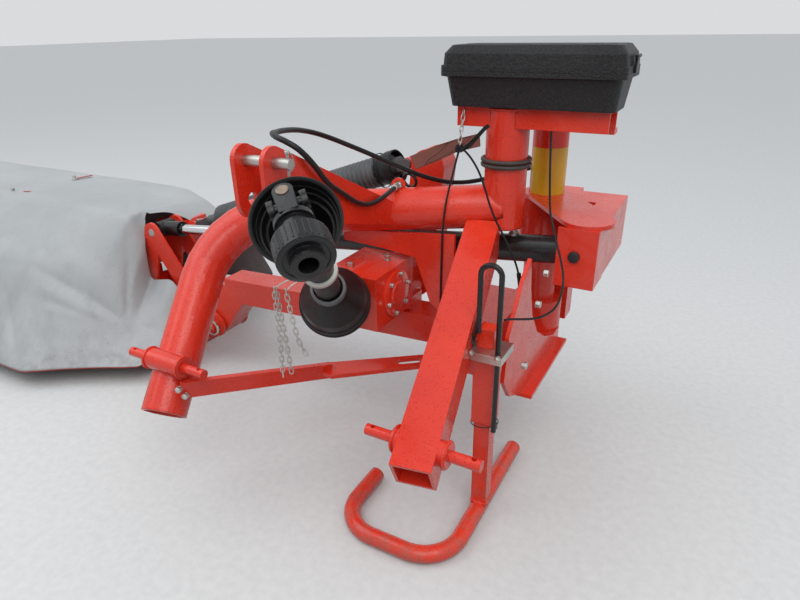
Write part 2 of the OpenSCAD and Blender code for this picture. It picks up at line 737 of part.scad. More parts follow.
neck_z = 486;
neck_d = 84;
module gearbox() {
    color(red) translate(to_middle) difference() {
        union() {
            translate(gearbox_at - gearbox_size / 2) cube(gearbox_size);
            // input boss towards the tractor shaft, neck to the transfer case, foot on the arm
            bar_along_y(gearbox_at[0], shaft_rear[2], 110, 360, gearbox_at[1]);
            bar_along_y(gearbox_at[0], shaft_rear[2], 50, shaft_rear[1] + 48, 361);
            bar_along_y(gearbox_at[0], neck_z, neck_d, gearbox_at[1], drive_y - 50);
            translate([gearbox_at[0] - 60, arm_y - 40, arm_z0]) cube([120, 80, neck_z - arm_z0]);
        }
        plate_xz(arm_y, arm_w + 2) arm_outline(0);
    }
}
module transfer_case() {
    color(red) translate(to_middle) union() {
        plate_xz(drive_y, 100) hull() {
            translate([gearbox_at[0], neck_z]) circle(d = 120, $fn = 32);
            translate([drive_top[0] + 92, drive_top[1]]) circle(d = 120, $fn = 32);
        }
        difference() {
            union() {
                bar_along_x(drive_y, drive_top[1], 40, drive_top[0], drive_top[0] + 60);
                bar_along_y(drive_top[0], drive_top[1], 40, drive_y - 22, drive_y + 22);
            }
            bar_along_y(drive_top[0], drive_top[1], 20 + 2 * pin_gap, drive_y - 60, drive_y + 60);
        }
    }
}

// LIFT CYLINDER: the barrel swings at the yoke, the rod's end is held by the link frame's pin
barrel_len = 985;
eye_d = 70;
rod_end_w = 80;
module lift_barrel() {
    a = xz(lift_base, lift_y);
    color([0.2, 0.21, 0.22]) translate(to_middle) difference() {
        union() {
            rod(a, a + lift_dir * barrel_len, barrel_d);
            bar_along_y(lift_base[0], lift_base[1], lift_pin_d, lift_y - 66, lift_y + 66);
        }
        rod(a + lift_dir * 90, a + lift_dir * (barrel_len + 10), rod_d + 2 * pin_gap);
    }
}
module lift_rod() {
    a = xz(lift_base, lift_y);
    color(steel) translate(to_middle)
        rod(a + lift_dir * (barrel_len - 100), a + lift_dir * (lift_len - 110), rod_d);
}
module rod_end() {
    a = xz(lift_base, lift_y);
    color(black) translate(to_middle) difference() {
        union() {
            rod(a + lift_dir * (lift_len - 110), a + lift_dir * (lift_len - 10), 64);
            bar_along_y(lift_eye[0], lift_eye[1], eye_d, lift_y - rod_end_w / 2, lift_y + rod_end_w / 2);
        }
        bar_along_y(lift_eye[0], lift_eye[1], lift_pin_d + 2 * pin_gap, lift_y - 60, lift_y + 60);
    }
}
// Two stub pins, one in each side of the link frame, with their ends against the rod's eye
module lift_pin() {
    tip = link_y + link_t / 2 + 1.5;
    root = rod_end_w / 2 + face_gap;
    color(steel) translate(to_middle) for (y = [lift_y - tip, lift_y + root])
        bar_along_y(lift_eye[0], lift_eye[1], lift_pin_d, y, y + tip - root);
}

// CROSS SHAFT: ribbed guards that slide one in the other
inner_guard_d = 80;
module ribbed(d, core, h, pitch) {
    root = d / 2 - 7;
    rotate_extrude() polygon(concat([[core / 2, h], [core / 2, 0]],
        [for (i = [0 : floor(h / pitch) - 1]) each [[root, (i + 0.1) * pitch],
            [d / 2, (i + 0.4) * pitch], [d / 2, (i + 0.6) * pitch], [root, (i + 0.9) * pitch]]],
        [[root, h]]));
}
bell_end = 118;
module cross_shaft_guard() {
    color(black) translate(to_middle) along(xz(drive_top, drive_y) + drive_dir * bell_end, -drive_dir)
        bell(58, 46, 70);
}
outer_end = 590;
sleeve_from = 70;
module cross_shaft_outer() {
    ribs_from = bell_end + face_gap;
    bore = inner_guard_d + 1;
    color([0.35, 0.36, 0.37]) translate(to_middle) along(xz(drive_top, drive_y), drive_dir) union() {
        translate([0, 0, ribs_from]) ribbed(bellows_d, bore, outer_end - ribs_from, 20);
        translate([0, 0, 34]) cylinder(d = 62, h = sleeve_from - 34);
        translate([0, 0, sleeve_from]) difference() {
            cylinder(d = bore + 10, h = ribs_from - sleeve_from + 1);
            translate([0, 0, 8]) cylinder(d = bore, h = 100);
        }
        fork(62, 12, 36, 0);
        rotate([0, 90, 0]) translate([0, 0, -37]) cylinder(d = 20, h = 74);
    }
}
// Inner guard, and a slim yoke whose ears carry stub pins on both sides of the cutting unit's input hub
inner_from = 522;
slim_from = 110;
hub_half = 22;
module cross_shaft_inner() {
    color([0.35, 0.36, 0.37]) translate(to_middle) along(xz(drive_low, drive_y), -drive_dir) union() {
        translate([0, 0, slim_from]) cylinder(d = inner_guard_d, h = drive_len - inner_from - slim_from);
        translate([0, 0, 46]) cylinder(d = 50, h = slim_from - 45);
        translate([-37, -20, 40]) cube([74, 40, 8]);
        for (side = [-1, 1]) {
            translate([side * 31 - 6, -17, 0]) cube([12, 34, 41]);
            translate([side * 31 - 6, 0, 0]) rotate([0, 90, 0]) cylinder(d = 38, h = 12);
            translate([side > 0 ? hub_half + face_gap : -26, 0, 0]) rotate([0, 90, 0])
                cylinder(d = 20, h = 26 - hub_half - face_gap);
        }
    }
}

// MOWER
strut_out = [lift_eye[0] - 90, 250];
strut_in = [hinge_at[0] - 120, 290];
module link_frame() {
    color(red) translate(to_middle) difference() {
        union() {
            for (y = [lift_y - link_y, lift_y + link_y]) plate_xz(y, link_t) difference() {
                union() {
                    hull() {
                        translate(lift_eye) circle(d = 84, $fn = 32);
                        translate(strut_out) circle(d = 80, $fn = 32);
                    }
                    hull() {
                        translate(lift_eye) circle(d = 84, $fn = 32);
                        translate(strut_in) circle(d = 80, $fn = 32);
                    }
                    hull() {
                        translate(strut_out) circle(d = 80, $fn = 32);
                        translate(hinge_at) circle(d = 100, $fn = 32);
                        translate(strut_in) circle(d = 80, $fn = 32);
                    }
                }
            }
            // cross plates that join the sides
            translate([strut_out[0] + 10, lift_y - link_y, 215]) cube([160, 2 * link_y, 14]);
            translate([strut_out[0] - 40, lift_y - link_y, beam_z[0]]) cube([14, 2 * link_y, 60]);
        }
        bar_along_y(hinge_at[0], hinge_at[1], hinge_d + 2 * pin_gap, lift_y - 100, lift_y + 100);
        bar_along_y(lift_eye[0], lift_eye[1], lift_pin_d + 2 * pin_gap, lift_y - 100, lift_y + 100);
    }
}
beam_in = strut_out[0] - 40;
beam_z = [250, 350];
module mower_beam() {
    color(red) translate(to_middle) union() {
        translate([bar_outer + 150, lift_y - 50, beam_z[0]]) cube([beam_in - bar_outer - 150, 100, beam_z[1] - beam_z[0]]);
        // hangers down to the shoes at both ends, past the blades' circles
        for (x = [bar_outer + shoe_t, bar_inner - shoe_t - 14]) translate([x, bar_y + 90, 90]) cube([14, 90, beam_z[0] + 1 - 90]);
        translate([bar_outer + shoe_t, bar_y + 90, beam_z[0]]) cube([200, 90, 40]);
        translate([beam_in - 20, bar_y + 90, beam_z[0]]) cube([bar_inner - shoe_t - beam_in + 20, 90, 40]);
        translate([beam_in - 20, bar_y + 49, beam_z[0]]) cube([20, 42, 40]);
        translate([bar_outer + 180, bar_y + 49, beam_z[0]]) cube([34, 42, 40]);
    }
}
module cutter_bar() {
    color(red) translate(to_middle) difference() {
        union() {
            translate([bar_outer + shoe_t, bar_y - bar_depth / 2, bar_z])
                cube([bar_inner - bar_outer - 2 * shoe_t, bar_depth, bar_h]);
            for (i = [0 : discs - 1])
                bar_along_z(disc_x1 - i * disc_pitch, bar_y, 120, bar_z + bar_h - 1, disc_z - run_gap);
        }
        for (i = [0 : discs - 1])
            bar_along_z(disc_x1 - i * disc_pitch, bar_y, spindle_d + 2 * pin_gap, spindle_z, disc_z);
    }
}
module skid_shoes() {
    front = bar_y - bar_depth / 2;
    rear = bar_y + bar_depth / 2;
    color(steel) translate(to_middle) for (i = [0 : discs - 1]) plate_yz(disc_x1 - i * disc_pitch, 180)
        polygon([[front - 24, bar_z + bar_h * 0.6], [front - 20, bar_z * 0.6], [front + 30, 0], [rear + 20, 0],
            [rear + 50, 12], [rear + 50, 20], [rear + 16, 8], [rear - 30, 8], [rear - 30, bar_z - face_gap],
            [rear - 60, bar_z - face_gap], [rear - 60, 8], [front + 34, 8], [front - face_gap, bar_z * 0.8],
            [front - face_gap, bar_z + bar_h * 0.6]]);
}
module shoe_outline() {
    polygon([[bar_y - 325, 60], [bar_y - 300, 34], [bar_y - 220, 4], [bar_y + 200, 4], [bar_y + 260, 50],
        [bar_y + 260, 150], [bar_y + 180, 162], [bar_y - 180, 162], [bar_y - 240, 134], [bar_y - 300, 92],
        [bar_y - 325, 74]]);
}
module inner_shoe() {
    color(red) translate(to_middle) plate_yz(bar_inner - shoe_t / 2, shoe_t) shoe_outline();
}
module outer_shoe() {
    color(red) translate(to_middle) plate_yz(bar_outer + shoe_t / 2, shoe_t) shoe_outline();
}
gear_x = [-1420, -1325];
input_reach = 90;
input_z = [430, 550];
module mower_gearbox() {
    input_x = drive_low[0] + drive_dir[0] * input_reach;
    color(red) translate(to_middle) union() {
        // bevel box on the beam's end over the first disc
        translate([gear_x[0], bar_y - 45, beam_z[1]]) cube([gear_x[1] - gear_x[0], drive_y + 90 - bar_y + 45, 120]);
        // input housing beside the link frame, with a slim stub and hub for the cross shaft's joint
        translate([gear_x[1] - 1, drive_y - 74, input_z[0]])
            cube([input_x - gear_x[1] + 1, 164, input_z[1] - input_z[0]]);
        along(xz(drive_low, drive_y), drive_dir) {
            cylinder(d = 24, h = input_reach);
            rotate([0, 90, 0]) translate([0, 0, -hub_half]) cylinder(d = 40, h = 2 * hub_half);
            translate([0, 0, input_reach - 20]) cylinder(d = 60, h = 22);
        }
        // cheek down behind the beam to the drive column over the first disc
        translate([gear_x[0], bar_y + 50 + face_gap, beam_z[0] - 20]) cube([80, 14, beam_z[1] - beam_z[0] + 40]);
        translate([gear_x[0], bar_y - 50, beam_z[0] - 20]) cube([104, 110, 20 - face_gap]);
        bar_along_z(disc_x1, bar_y, 100, disc_z + 46 + run_gap, beam_z[0] - 10);
    }
}

module disc(i) {
    hub_d = [170, 90];
    color(steel) translate(to_middle) translate([disc_x1 - i * disc_pitch, bar_y, disc_z])
        rotate([0, 0, i % 2 * 90]) union() {
            linear_extrude(disc_t) polygon([for (a = [0 : 15 : 345])
                [disc_long / 2 * cos(a), disc_short / 2 * sin(a)]]);
            cylinder(d1 = hub_d[0], d2 = hub_d[1], h = 46);
            translate([0, 0, spindle_z + 1 - disc_z]) cylinder(d = spindle_d, h = disc_z - spindle_z);
            for (side = [0, 180]) rotate([0, 0, side]) translate([blade_reach - 105, -24, -5])
                cube([105, 48, 5]);
        }
}

// COVER
rail = 40;
fall = 20 / (tail_y - ridge_y);
flap_pin_d = 5;
flap_gap = flap_pin_d / 2 + 0.5;
flap_z = roof_z - cover_t / 2;
end_x = cover_out - face_gap - cover_t / 2;
rail_y = [ridge_y + 30, tail_y - 60];
// Tabs from the rails' ends to the outer flap's hinge rod, and with a gap the notches for them
module end_tabs(gap) {
    for (y = rail_y) translate([end_x - 2 - gap, y + 8 - gap,
        roof_z - cover_t - fall * (y + rail - ridge_y) - 14 - face_gap - gap]) {
        cube([cover_out + 61 - end_x + gap, rail - 16 + 2 * gap, 12 + gap]);
        cube([4 + 2 * gap, rail - 16 + 2 * gap, 14 + cover_t / 2 + 3 * gap]);
    }
}
module cover_frame() {
    length = cover_in - cover_out - 120;
    z = roof_z - cover_t - fall * (tail_y - 20 - ridge_y) - rail - face_gap;
    color(red) translate(to_middle) union() {
        for (y = rail_y) translate([cover_out + 60, y, roof_z - cover_t - fall * (y + rail - ridge_y) - rail - face_gap])
            cube([length, rail, rail]);
        for (i = [0 : 2]) translate([cover_out + 120 + i * (length - 160) / 2, rail_y[0], z])
            cube([50, tail_y - ridge_y - 60, rail - 2]);
        for (i = [0, 2]) translate([cover_out + 120 + i * (length - 160) / 2, lift_y - 25, beam_z[1]])
            cube([50, 50, z - beam_z[1] + 1]);
        // hinge rod of the front flap along the ridge, on cheeks of the front rail
        bar_along_x(ridge_y, flap_z, flap_pin_d, cover_out + 60, cover_in - 60);
        for (i = [0 : 3]) plate_yz(cover_out + 80 + i * (length - 40) / 3, 12)
            polygon([[ridge_y - 2, flap_z - 20], [ridge_y + 31, flap_z - 40], [ridge_y + 31, flap_z - 8],
                [ridge_y + 2.4, roof_z - cover_t - face_gap], [ridge_y + 2, flap_z], [ridge_y - 2, flap_z]]);
        // hinge rod of the outer flap, along the roof's end
        rod([end_x, ridge_y + 10, flap_z - fall * 10], [end_x, tail_y - 10, flap_z - fall * (tail_y - 10 - ridge_y)],
            flap_pin_d);
        end_tabs(0);
    }
}
// Fixed fabric: roof and rear skirt, with the rear inner corner drooping to the inner end
function roof_section(x, y0) = [[x, y0, roof_z - cover_t], [x, tail_y - cover_t, roof_z - 20 - cover_t],
    [x, hem_rear - cover_t, hem_z], [x, hem_rear, hem_z], [x, tail_y, roof_z - 20], [x, y0, roof_z]];
module cover_roof() {
    color(grey) translate(to_middle)
        loft([roof_section(cover_out, ridge_y + flap_gap), roof_section(cover_in, ridge_y + flap_gap)]);
}
droop_x = -1074;
droop_z = [440, 410, 160];
droop_in = 30;
module cover_inner() {
    t = cover_t;
    color(grey) translate(to_middle) loft([roof_section(cover_in + face_gap, notch_y),
        [[droop_x, notch_y, droop_z[0] - t], [droop_x, tail_y - droop_in - t, droop_z[1] - t],
            [droop_x, hem_rear - droop_in - t, droop_z[2]], [droop_x, hem_rear - droop_in, droop_z[2]],
            [droop_x, tail_y - droop_in, droop_z[1]], [droop_x, notch_y, droop_z[0]]]]);
}
// Front flap, hung on the ridge rod: its section, and its slanting inner end over the inner shoe
function front_section(x) = [[x, ridge_y - flap_gap, roof_z], [x, slope_y, slope_z], [x, hem_front, hem_z],
    [x, hem_front + cover_t, hem_z], [x, slope_y + cover_t, slope_z - cover_t],
    [x, ridge_y - flap_gap, roof_z - cover_t]];
flap_tip = [[-960, 612, 150], [-1010, 480, 150], [-1059, 351, 76]];
module cover_front() {
    color(grey) translate(to_middle) loft([front_section(cover_out), front_section(cover_in),
        concat(flap_tip, [for (i = [2, 1, 0]) flap_tip[i] + [i < 2 ? -cover_t : 0, cover_t, i < 2 ? -cover_t : 0]])]);
}
module cover_end() {
    top = flap_gap + cover_t / 2;
    color(grey) translate(to_middle) difference() {
        plate_yz(end_x, cover_t) polygon([[hem_front, hem_z], [slope_y, slope_z], [ridge_y, roof_z - top],
            [tail_y, roof_z - 20 - top], [hem_rear, hem_z]]);
        end_tabs(3);
    }
}
// Board inside the rear skirt's outer end that guides the cut grass
board_y = bar_y + 260;
board_h = 170;
module swath_board() {
    board_end = hem_rear - (hem_rear - tail_y) * 0.35 - cover_t - 10;
    color(black) translate(to_middle) translate([bar_outer, board_y, 60]) cube([12, board_end - board_y, board_h]);
}

// CORDS: a tube swept along its points
function ring(p, d, r, n) = let (b = basis(d))
    [for (i = [0 : n - 1]) p + r * (cos(360 * i / n) * b[0] + sin(360 * i / n) * b[1])];
module cord(points, d, n = 8) {
    m = len(points);
    loft([for (i = [0 : m - 1]) ring(points[i], points[min(m - 1, i + 1)] - points[max(0, i - 1)], d / 2, n)]);
}
hose_points = [[33, 585, 888.2], [42, 556, 891], [50, 515, 890], [56, 467, 887], [58, 420, 884], [58, 375, 888],
    [58, 335, 901], [58, 296, 922], [59, 255, 948], [61, 212, 974], [63, 176, 1003], [65, 148, 1032],
    [60, 123, 1061], [45, 106, 1085], [18, 99, 1100], [-13, 107, 1106], [-42, 130, 1108],
    [-67, 170, 1103], [-87, 226, 1098], [-99, 292, 1089], [-102, 360, 1073], [-90, 414, 1053],
    [-66, 466, 1027], [-30, 524, 994], [14, 576, 960], [52, 616, 933], [80, 648, 913], [112, 682, 896],
    [150, 720, 882], [192, 772, 876], [240, 840, 880], [288, 903, 890], [312, 928, 894],
    [335, 944, 898]];
module hydraulic_hose() {
    color(black) translate(to_middle) cord(hose_points, 14);
}
lock_points = [[222, 618, 1010], [216, 600, 960], [208, 582, 900], [205, 564, 850], [203, 550.7, 775],
    [202, 550.7, 720], [200, 550.7, 640], [199, 550.7, 548]];
module lock_cord() {
    color(black) translate(to_middle) cord(lock_points, 6);
}

arch_tube();
box_tube();
hitch_pins();
arch_gusset();
front_column();
column_band();
toolbox_tray();
toolbox();
toolbox_lid();
pivot_column();
side_plate();
column_tie();
top_link_plates();
top_link_pin();
brace_bar();
stand_sleeve();
stand_clamp();
hook_rod();
stand();
front_yoke();
shaft_core();
front_guard();
guard_tube();
rear_guard();
guard_collar();
pivot_yoke();
swing_arm();
hinge_pin();
gearbox();
transfer_case();
lift_barrel();
lift_rod();
rod_end();
lift_pin();
cross_shaft_guard();
cross_shaft_outer();
cross_shaft_inner();
link_frame();
mower_beam();
cutter_bar();
skid_shoes();
inner_shoe();
outer_shoe();
mower_gearbox();
disc(0);  // disc_1
disc(1);  // disc_2
disc(2);  // disc_3
disc(3);  // disc_4
disc(4);  // disc_5
disc(5);  // disc_6
disc(6);  // disc_7
cover_frame();
cover_roof();
cover_inner();
cover_front();
cover_end();
swath_board();
hydraulic_hose();
lock_cord();
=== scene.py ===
import math
import random

import bpy
from mathutils import Matrix, Vector


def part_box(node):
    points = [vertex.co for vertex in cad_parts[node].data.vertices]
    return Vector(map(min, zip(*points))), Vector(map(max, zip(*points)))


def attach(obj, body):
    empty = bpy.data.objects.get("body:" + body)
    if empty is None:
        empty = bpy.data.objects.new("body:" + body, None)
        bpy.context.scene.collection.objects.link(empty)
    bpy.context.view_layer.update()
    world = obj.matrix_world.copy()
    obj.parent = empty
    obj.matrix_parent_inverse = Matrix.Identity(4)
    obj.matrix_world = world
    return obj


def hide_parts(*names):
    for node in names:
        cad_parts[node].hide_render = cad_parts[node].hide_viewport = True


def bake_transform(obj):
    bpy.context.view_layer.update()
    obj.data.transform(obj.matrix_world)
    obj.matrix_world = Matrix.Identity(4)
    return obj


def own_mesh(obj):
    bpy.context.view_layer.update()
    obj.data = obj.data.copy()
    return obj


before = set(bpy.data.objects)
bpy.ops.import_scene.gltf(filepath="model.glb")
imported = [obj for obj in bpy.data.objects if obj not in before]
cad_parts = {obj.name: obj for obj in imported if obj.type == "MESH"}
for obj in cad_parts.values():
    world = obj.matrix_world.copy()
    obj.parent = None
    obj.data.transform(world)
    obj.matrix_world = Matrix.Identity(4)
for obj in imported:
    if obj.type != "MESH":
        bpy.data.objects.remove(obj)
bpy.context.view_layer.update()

# Camera: a phone held at head height in front of the machine's left corner, looking down and back.
# Places are given as on the machine's drawing, in millimetres from the middle of the lower hitch
# pins on the ground: X to the machine's left, Y to the rear, Z up.
pins_low, pins_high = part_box("hitch_pins")
HITCH = Vector(((pins_low.x + pins_high.x) / 2, (pins_low.y + pins_high.y) / 2, 0))


def at(x, y, z):
    return HITCH + Vector((x, y, z)) / 1000


def placed(name, data):
    """An object in the scene with its camera, lamp, mesh or curve."""
    thing = bpy.data.objects.new(name, data)
    bpy.context.scene.collection.objects.link(thing)
    return thing


view_right = Vector((0.877001, 0.480172, -0.017458))
view_down = Vector((0.187347, -0.375183, -0.907821))
view_ahead = Vector((-0.442460, 0.792889, -0.418994))
phone = bpy.data.cameras.new("phone")
phone.lens = 27
phone.sensor_width = 36
phone.clip_end = 200
phone_stand = placed("phone", phone)
turn = Matrix((view_right, -view_down, -view_ahead)).transposed().to_4x4()
phone_stand.matrix_world = Matrix.Translation(at(912, -984, 1337)) @ turn
bpy.context.scene.camera = phone_stand
bpy.context.scene.view_settings.view_transform = "Standard"

# Lift hose: a 14 mm black rubber hydraulic hose of 1.7 m. It leaves its fitting behind the arch, loops
# forward over the top link plates and runs back to the rear column.


def node(finish, kind, inputs, **settings):
    """A node of a finish, with values or other nodes' outputs on its inputs."""
    made = finish.node_tree.nodes.new(kind)
    for key, value in settings.items():
        setattr(made, key, value)
    for key, value in inputs.items():
        if isinstance(value, bpy.types.NodeSocket):
            finish.node_tree.links.new(value, made.inputs[key])
        else:
            made.inputs[key].default_value = value
    return made


def ramp(finish, factor, stops):
    """A colour or grey band between stops, each a position and a colour."""
    band = node(finish, "ShaderNodeValToRGB", {"Fac": factor})
    while len(band.color_ramp.elements) < len(stops):
        band.color_ramp.elements.new(0.5)
    for element, (position, colour) in zip(band.color_ramp.elements, stops):
        element.position = position
        element.color = (*colour, 1) if hasattr(colour, "__len__") else (colour, colour, colour, 1)
    return band.outputs["Color"]


def arithmetic(finish, operation, a, b):
    return node(finish, "ShaderNodeMath", {0: a, 1: b}, operation=operation).outputs[0]


def mixed(finish, share, a, b):
    """Colour a, with a share of colour b over it."""
    return node(finish, "ShaderNodeMix", {0: share, 6: a, 7: b}, data_type="RGBA").outputs[2]


def spread(finish, value, *ends):
    """A value moved from one range to another: the low and high it has, then the two it gets."""
    return node(finish, "ShaderNodeMapRange", dict(enumerate((value, *ends)))).outputs[0]


def new_finish(name, rough, metal=0.0, coat=0.0, sheen=0.0, shine=0.5):
    """A finish, its shader and the piece's own coordinates."""
    finish = bpy.data.materials.new(name)
    finish.use_nodes = True
    surface = finish.node_tree.nodes["Principled BSDF"]
    surface.inputs["Roughness"].default_value = rough
    surface.inputs["Metallic"].default_value = metal
    surface.inputs["Coat Weight"].default_value = coat
    surface.inputs["Coat Roughness"].default_value = 0.06
    surface.inputs["Sheen Weight"].default_value = sheen
    surface.inputs["Specular IOR Level"].default_value = shine
    place = node(finish, "ShaderNodeTexCoord", {}).outputs["Object"]
    return finish, surface, place


def noise(finish, place, scale, detail=4.0, rough=0.55):
    made = node(finish, "ShaderNodeTexNoise",
                {"Vector": place, "Scale": scale, "Detail": detail, "Roughness": rough})
    return made.outputs["Fac"]


def connect(finish, output, surface, socket):
    finish.node_tree.links.new(output, surface.inputs[socket])


def relief(finish, surface, layers, edge=0.0):
    """Bumps on a surface, each a height and its depth in metres, over edges rounded by a radius."""
    normal = None
    if edge:
        normal = node(finish, "ShaderNodeBevel", {"Radius": edge}, samples=4).outputs[0]
    for height, depth in layers:
        inputs = {"Height": height, "Distance": depth, "Strength": 1.0}
        if normal:
            inputs["Normal"] = normal
        normal = node(finish, "ShaderNodeBump", inputs).outputs[0]
    connect(finish, normal, surface, "Normal")


def drops(finish, place, cell, size):
    """Rain beads: 1 in the middle of a bead and 0 off it, about one bead in each cell."""
    cells = node(finish, "ShaderNodeTexVoronoi", {"Vector": place, "Scale": 1 / cell, "Randomness": 1.0})
    own = node(finish, "ShaderNodeSeparateColor", {0: cells.outputs["Color"]}).outputs[0]
    reach = arithmetic(finish, "MULTIPLY", own, size / cell)
    inside = arithmetic(finish, "SUBTRACT", reach, cells.outputs["Distance"])
    return spread(finish, inside, 0.0, size / cell * 0.35, 0.0, 1.0)


def plain_finish(name, light, dark, rough, metal=0.0, coat=0.0, grain=400, depth=0.0002, wet=0.0, edge=0.003,
                 shine=0.5):
    """A finish mottled between two colours, with a fine grain, and rain beads where it is wet."""
    finish, surface, place = new_finish(name, rough, metal, coat, shine=shine)
    cloud = noise(finish, place, 9)
    connect(finish, ramp(finish, cloud, [(0.35, dark), (0.68, light)]), surface, "Base Color")
    fine = noise(finish, place, grain, 3)
    patches = ramp(finish, noise(finish, place, 30), [(0.3, rough * 0.75), (0.75, min(1, rough * 1.3))])
    connect(finish, patches, surface, "Roughness")
    layers = [(fine, depth)]
    if wet:
        layers.append((drops(finish, place, 0.006, wet), 0.0008))
    relief(finish, surface, layers, edge)
    return finish


def smooth_route(points):
    """A smooth line through points, each given on the drawing, in metres in the row frame."""
    steps = 6
    route = [at(*p) for p in points]
    ends = [route[0] * 2 - route[1]] + route + [route[-1] * 2 - route[-2]]
    line = []
    for a, b, c, d in zip(ends, ends[1:], ends[2:], ends[3:]):
        for i in range(steps):
            t = i / steps
            line.append((b * 2 + (c - a) * t + (a * 2 - b * 5 + c * 4 - d) * t * t
                         + (b * 3 - a - c * 3 + d) * t * t * t) / 2)
    return line + [route[-1]]


def wire(name, line, diameter, finish):
    """A hose or cord of the headstock along a line of points in metres, as a curve with capped ends."""
    curve = bpy.data.curves.new(name, "CURVE")
    curve.dimensions = "3D"
    spline = curve.splines.new("POLY")
    spline.points.add(len(line) - 1)
    for point, place in zip(spline.points, line):
        point.co = (*place, 1)
    curve.bevel_depth = diameter / 2
    curve.bevel_resolution = 6
    curve.use_fill_caps = True
    curve.materials.append(finish)
    piece = placed(name, curve)
    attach(piece, "headstock")
    return piece


rubber = plain_finish("hose_rubber", (0.012, 0.012, 0.013), (0.006, 0.006, 0.007), 0.38, grain=900,
                      wet=0.0018, shine=0.35)
hose_line = smooth_route([
    (33, 585, 888.2), (42, 556, 891), (50, 515, 890), (56, 467, 887), (58, 420, 884), (58, 375, 888),
    (58, 335, 901), (58, 296, 922), (59, 255, 948), (61, 212, 974), (63, 176, 1003), (65, 148, 1032),
    (60, 123, 1061), (45, 106, 1085), (18, 99, 1100), (-13, 107, 1106), (-42, 130, 1108), (-67, 170, 1103),
    (-87, 226, 1098), (-99, 292, 1089), (-102, 360, 1073), (-90, 414, 1053), (-66, 466, 1027),
    (-30, 524, 994), (14, 576, 960), (52, 616, 933), (80, 648, 913), (112, 682, 896), (150, 720, 882),
    (192, 772, 876), (240, 840, 880), (288, 903, 890), (312, 928, 894), (335, 944, 898)])
hose = wire("lift_hose", hose_line, 0.014, rubber)
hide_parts("hydraulic_hose")

# Lock rope: a 6 mm braided cord of half a metre, tied at the front column and hanging in front of it,
# with which the driver frees the transport lock.
braid = plain_finish("cord_braid", (0.011, 0.011, 0.012), (0.005, 0.005, 0.006), 0.6, grain=1500,
                     depth=0.0006, shine=0.3)
lock_line = smooth_route([
    (222, 618, 1010), (216, 600, 960), (208, 582, 900), (205, 564, 850), (203, 550.7, 775),
    (202, 550.7, 720), (200, 550.7, 640), (199, 550.7, 548)])
lock_rope = wire("lock_rope", lock_line, 0.006, braid)
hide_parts("lock_cord")

# Sensor cable: a thin black lead that comes from under the toolbox tray, falls beside the front
# column and swings forward to its clip on the hooked rod.
cable_line = smooth_route([
    (472, 650, 1117), (473, 650, 1068), (476, 648, 1019), (481, 645, 952), (492, 636, 860), (509, 620, 815),
    (532, 590, 775), (557, 550, 743), (579, 500, 714), (588, 450, 688), (585, 410, 670), (569, 375, 661),
    (548, 350, 659), (524, 330, 661), (502, 312, 664), (492, 297, 666)])
cable = wire("sensor_cable", cable_line, 0.006, rubber)

# Release cord: a braided cord with a rubber grip, tied at the same knot as the lock rope and hanging
# down in front of the column on its other side.
release_line = smooth_route([
    (226, 612, 1012), (250, 600, 1004), (274, 592, 984), (296, 592, 950), (315, 592, 905), (334, 590, 858),
    (356, 585, 818), (380, 580, 783), (404, 572, 748), (424, 566, 715), (438, 562, 680), (445, 560, 640),
    (448, 560, 608)])
release_cord = wire("release_cord", release_line, 0.006, braid)
grip_line = smooth_route([(438, 562, 684), (444, 561, 654), (447, 560, 630), (448, 560, 600)])
grip = wire("release_grip", grip_line, 0.013, rubber)

# Arch tube: a heavy steel tube bent in one bow from the left hitch pin up to the front column, with a
# cross tube at its foot for the pin. Red gloss vermilion coat, nearly new, wet with fine rain.


def red_paint(name, rounded_edge):
    finish, surface, place = new_finish(name, 0.26, coat=0.25)
    cloud = noise(finish, place, 4)
    colour = ramp(finish, cloud, [(0.3, (0.68, 0.024, 0.008)), (0.7, (0.82, 0.040, 0.012))])
    beads = drops(finish, place, 0.0062, 0.0024)
    small = drops(finish, place, 0.0031, 0.0011)
    both = arithmetic(finish, "MAXIMUM", beads, small)
    colour = mixed(finish, arithmetic(finish, "MULTIPLY", both, 0.16), colour, (0.42, 0.012, 0.006, 1))
    height = node(finish, "ShaderNodeSeparateXYZ", {0: place}).outputs["Z"]
    low = spread(finish, height, 0.0, 0.30, 0.5, 0.0)
    dirt = ramp(finish, noise(finish, place, 22, 7), [(0.42, 0.0), (0.7, 1.0)])
    colour = mixed(finish, arithmetic(finish, "MULTIPLY", low, dirt), colour, (0.20, 0.14, 0.10, 1))
    rounded = node(finish, "ShaderNodeBevel", {"Radius": 0.004}, samples=4).outputs[0]
    face = node(finish, "ShaderNodeNewGeometry", {}).outputs["Normal"]
    turned = node(finish, "ShaderNodeVectorMath", {0: rounded, 1: face}, operation="DOT_PRODUCT")
    edge = spread(finish, turned.outputs["Value"], 0.93, 0.80, 0.0, 1.0)
    worn = ramp(finish, noise(finish, place, 75, 5), [(0.60, 0.0), (0.66, 1.0)])
    colour = mixed(finish, arithmetic(finish, "MULTIPLY", edge, worn), colour, (0.16, 0.13, 0.12, 1))
    connect(finish, colour, surface, "Base Color")
    shine = ramp(finish, noise(finish, place, 14), [(0.3, 0.22), (0.75, 0.40)])
    connect(finish, mixed(finish, both, shine, (0.05, 0.05, 0.05, 1)), surface, "Roughness")
    relief(finish, surface, [(noise(finish, place, 170, 2), 0.00012), (both, 0.0007)], rounded_edge)
    return finish


red = red_paint("vermilion_gloss", 0.0024)
red_tube = red_paint("vermilion_on_tube", 0.012)


def coat(finish, *names):
    """The finish on CAD nodes."""
    for name in names:
        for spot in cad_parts[name].material_slots:
            spot.material = finish


def circle(count):
    """Angles all the way round, in even steps."""
    return [2 * math.pi * i / count for i in range(count)]


def hoop(place, across, up, radius, sides):
    """Points round a place, in the plane of two directions."""
    return [place + (across * math.cos(a) + up * math.sin(a)) * radius for a in circle(sides)]


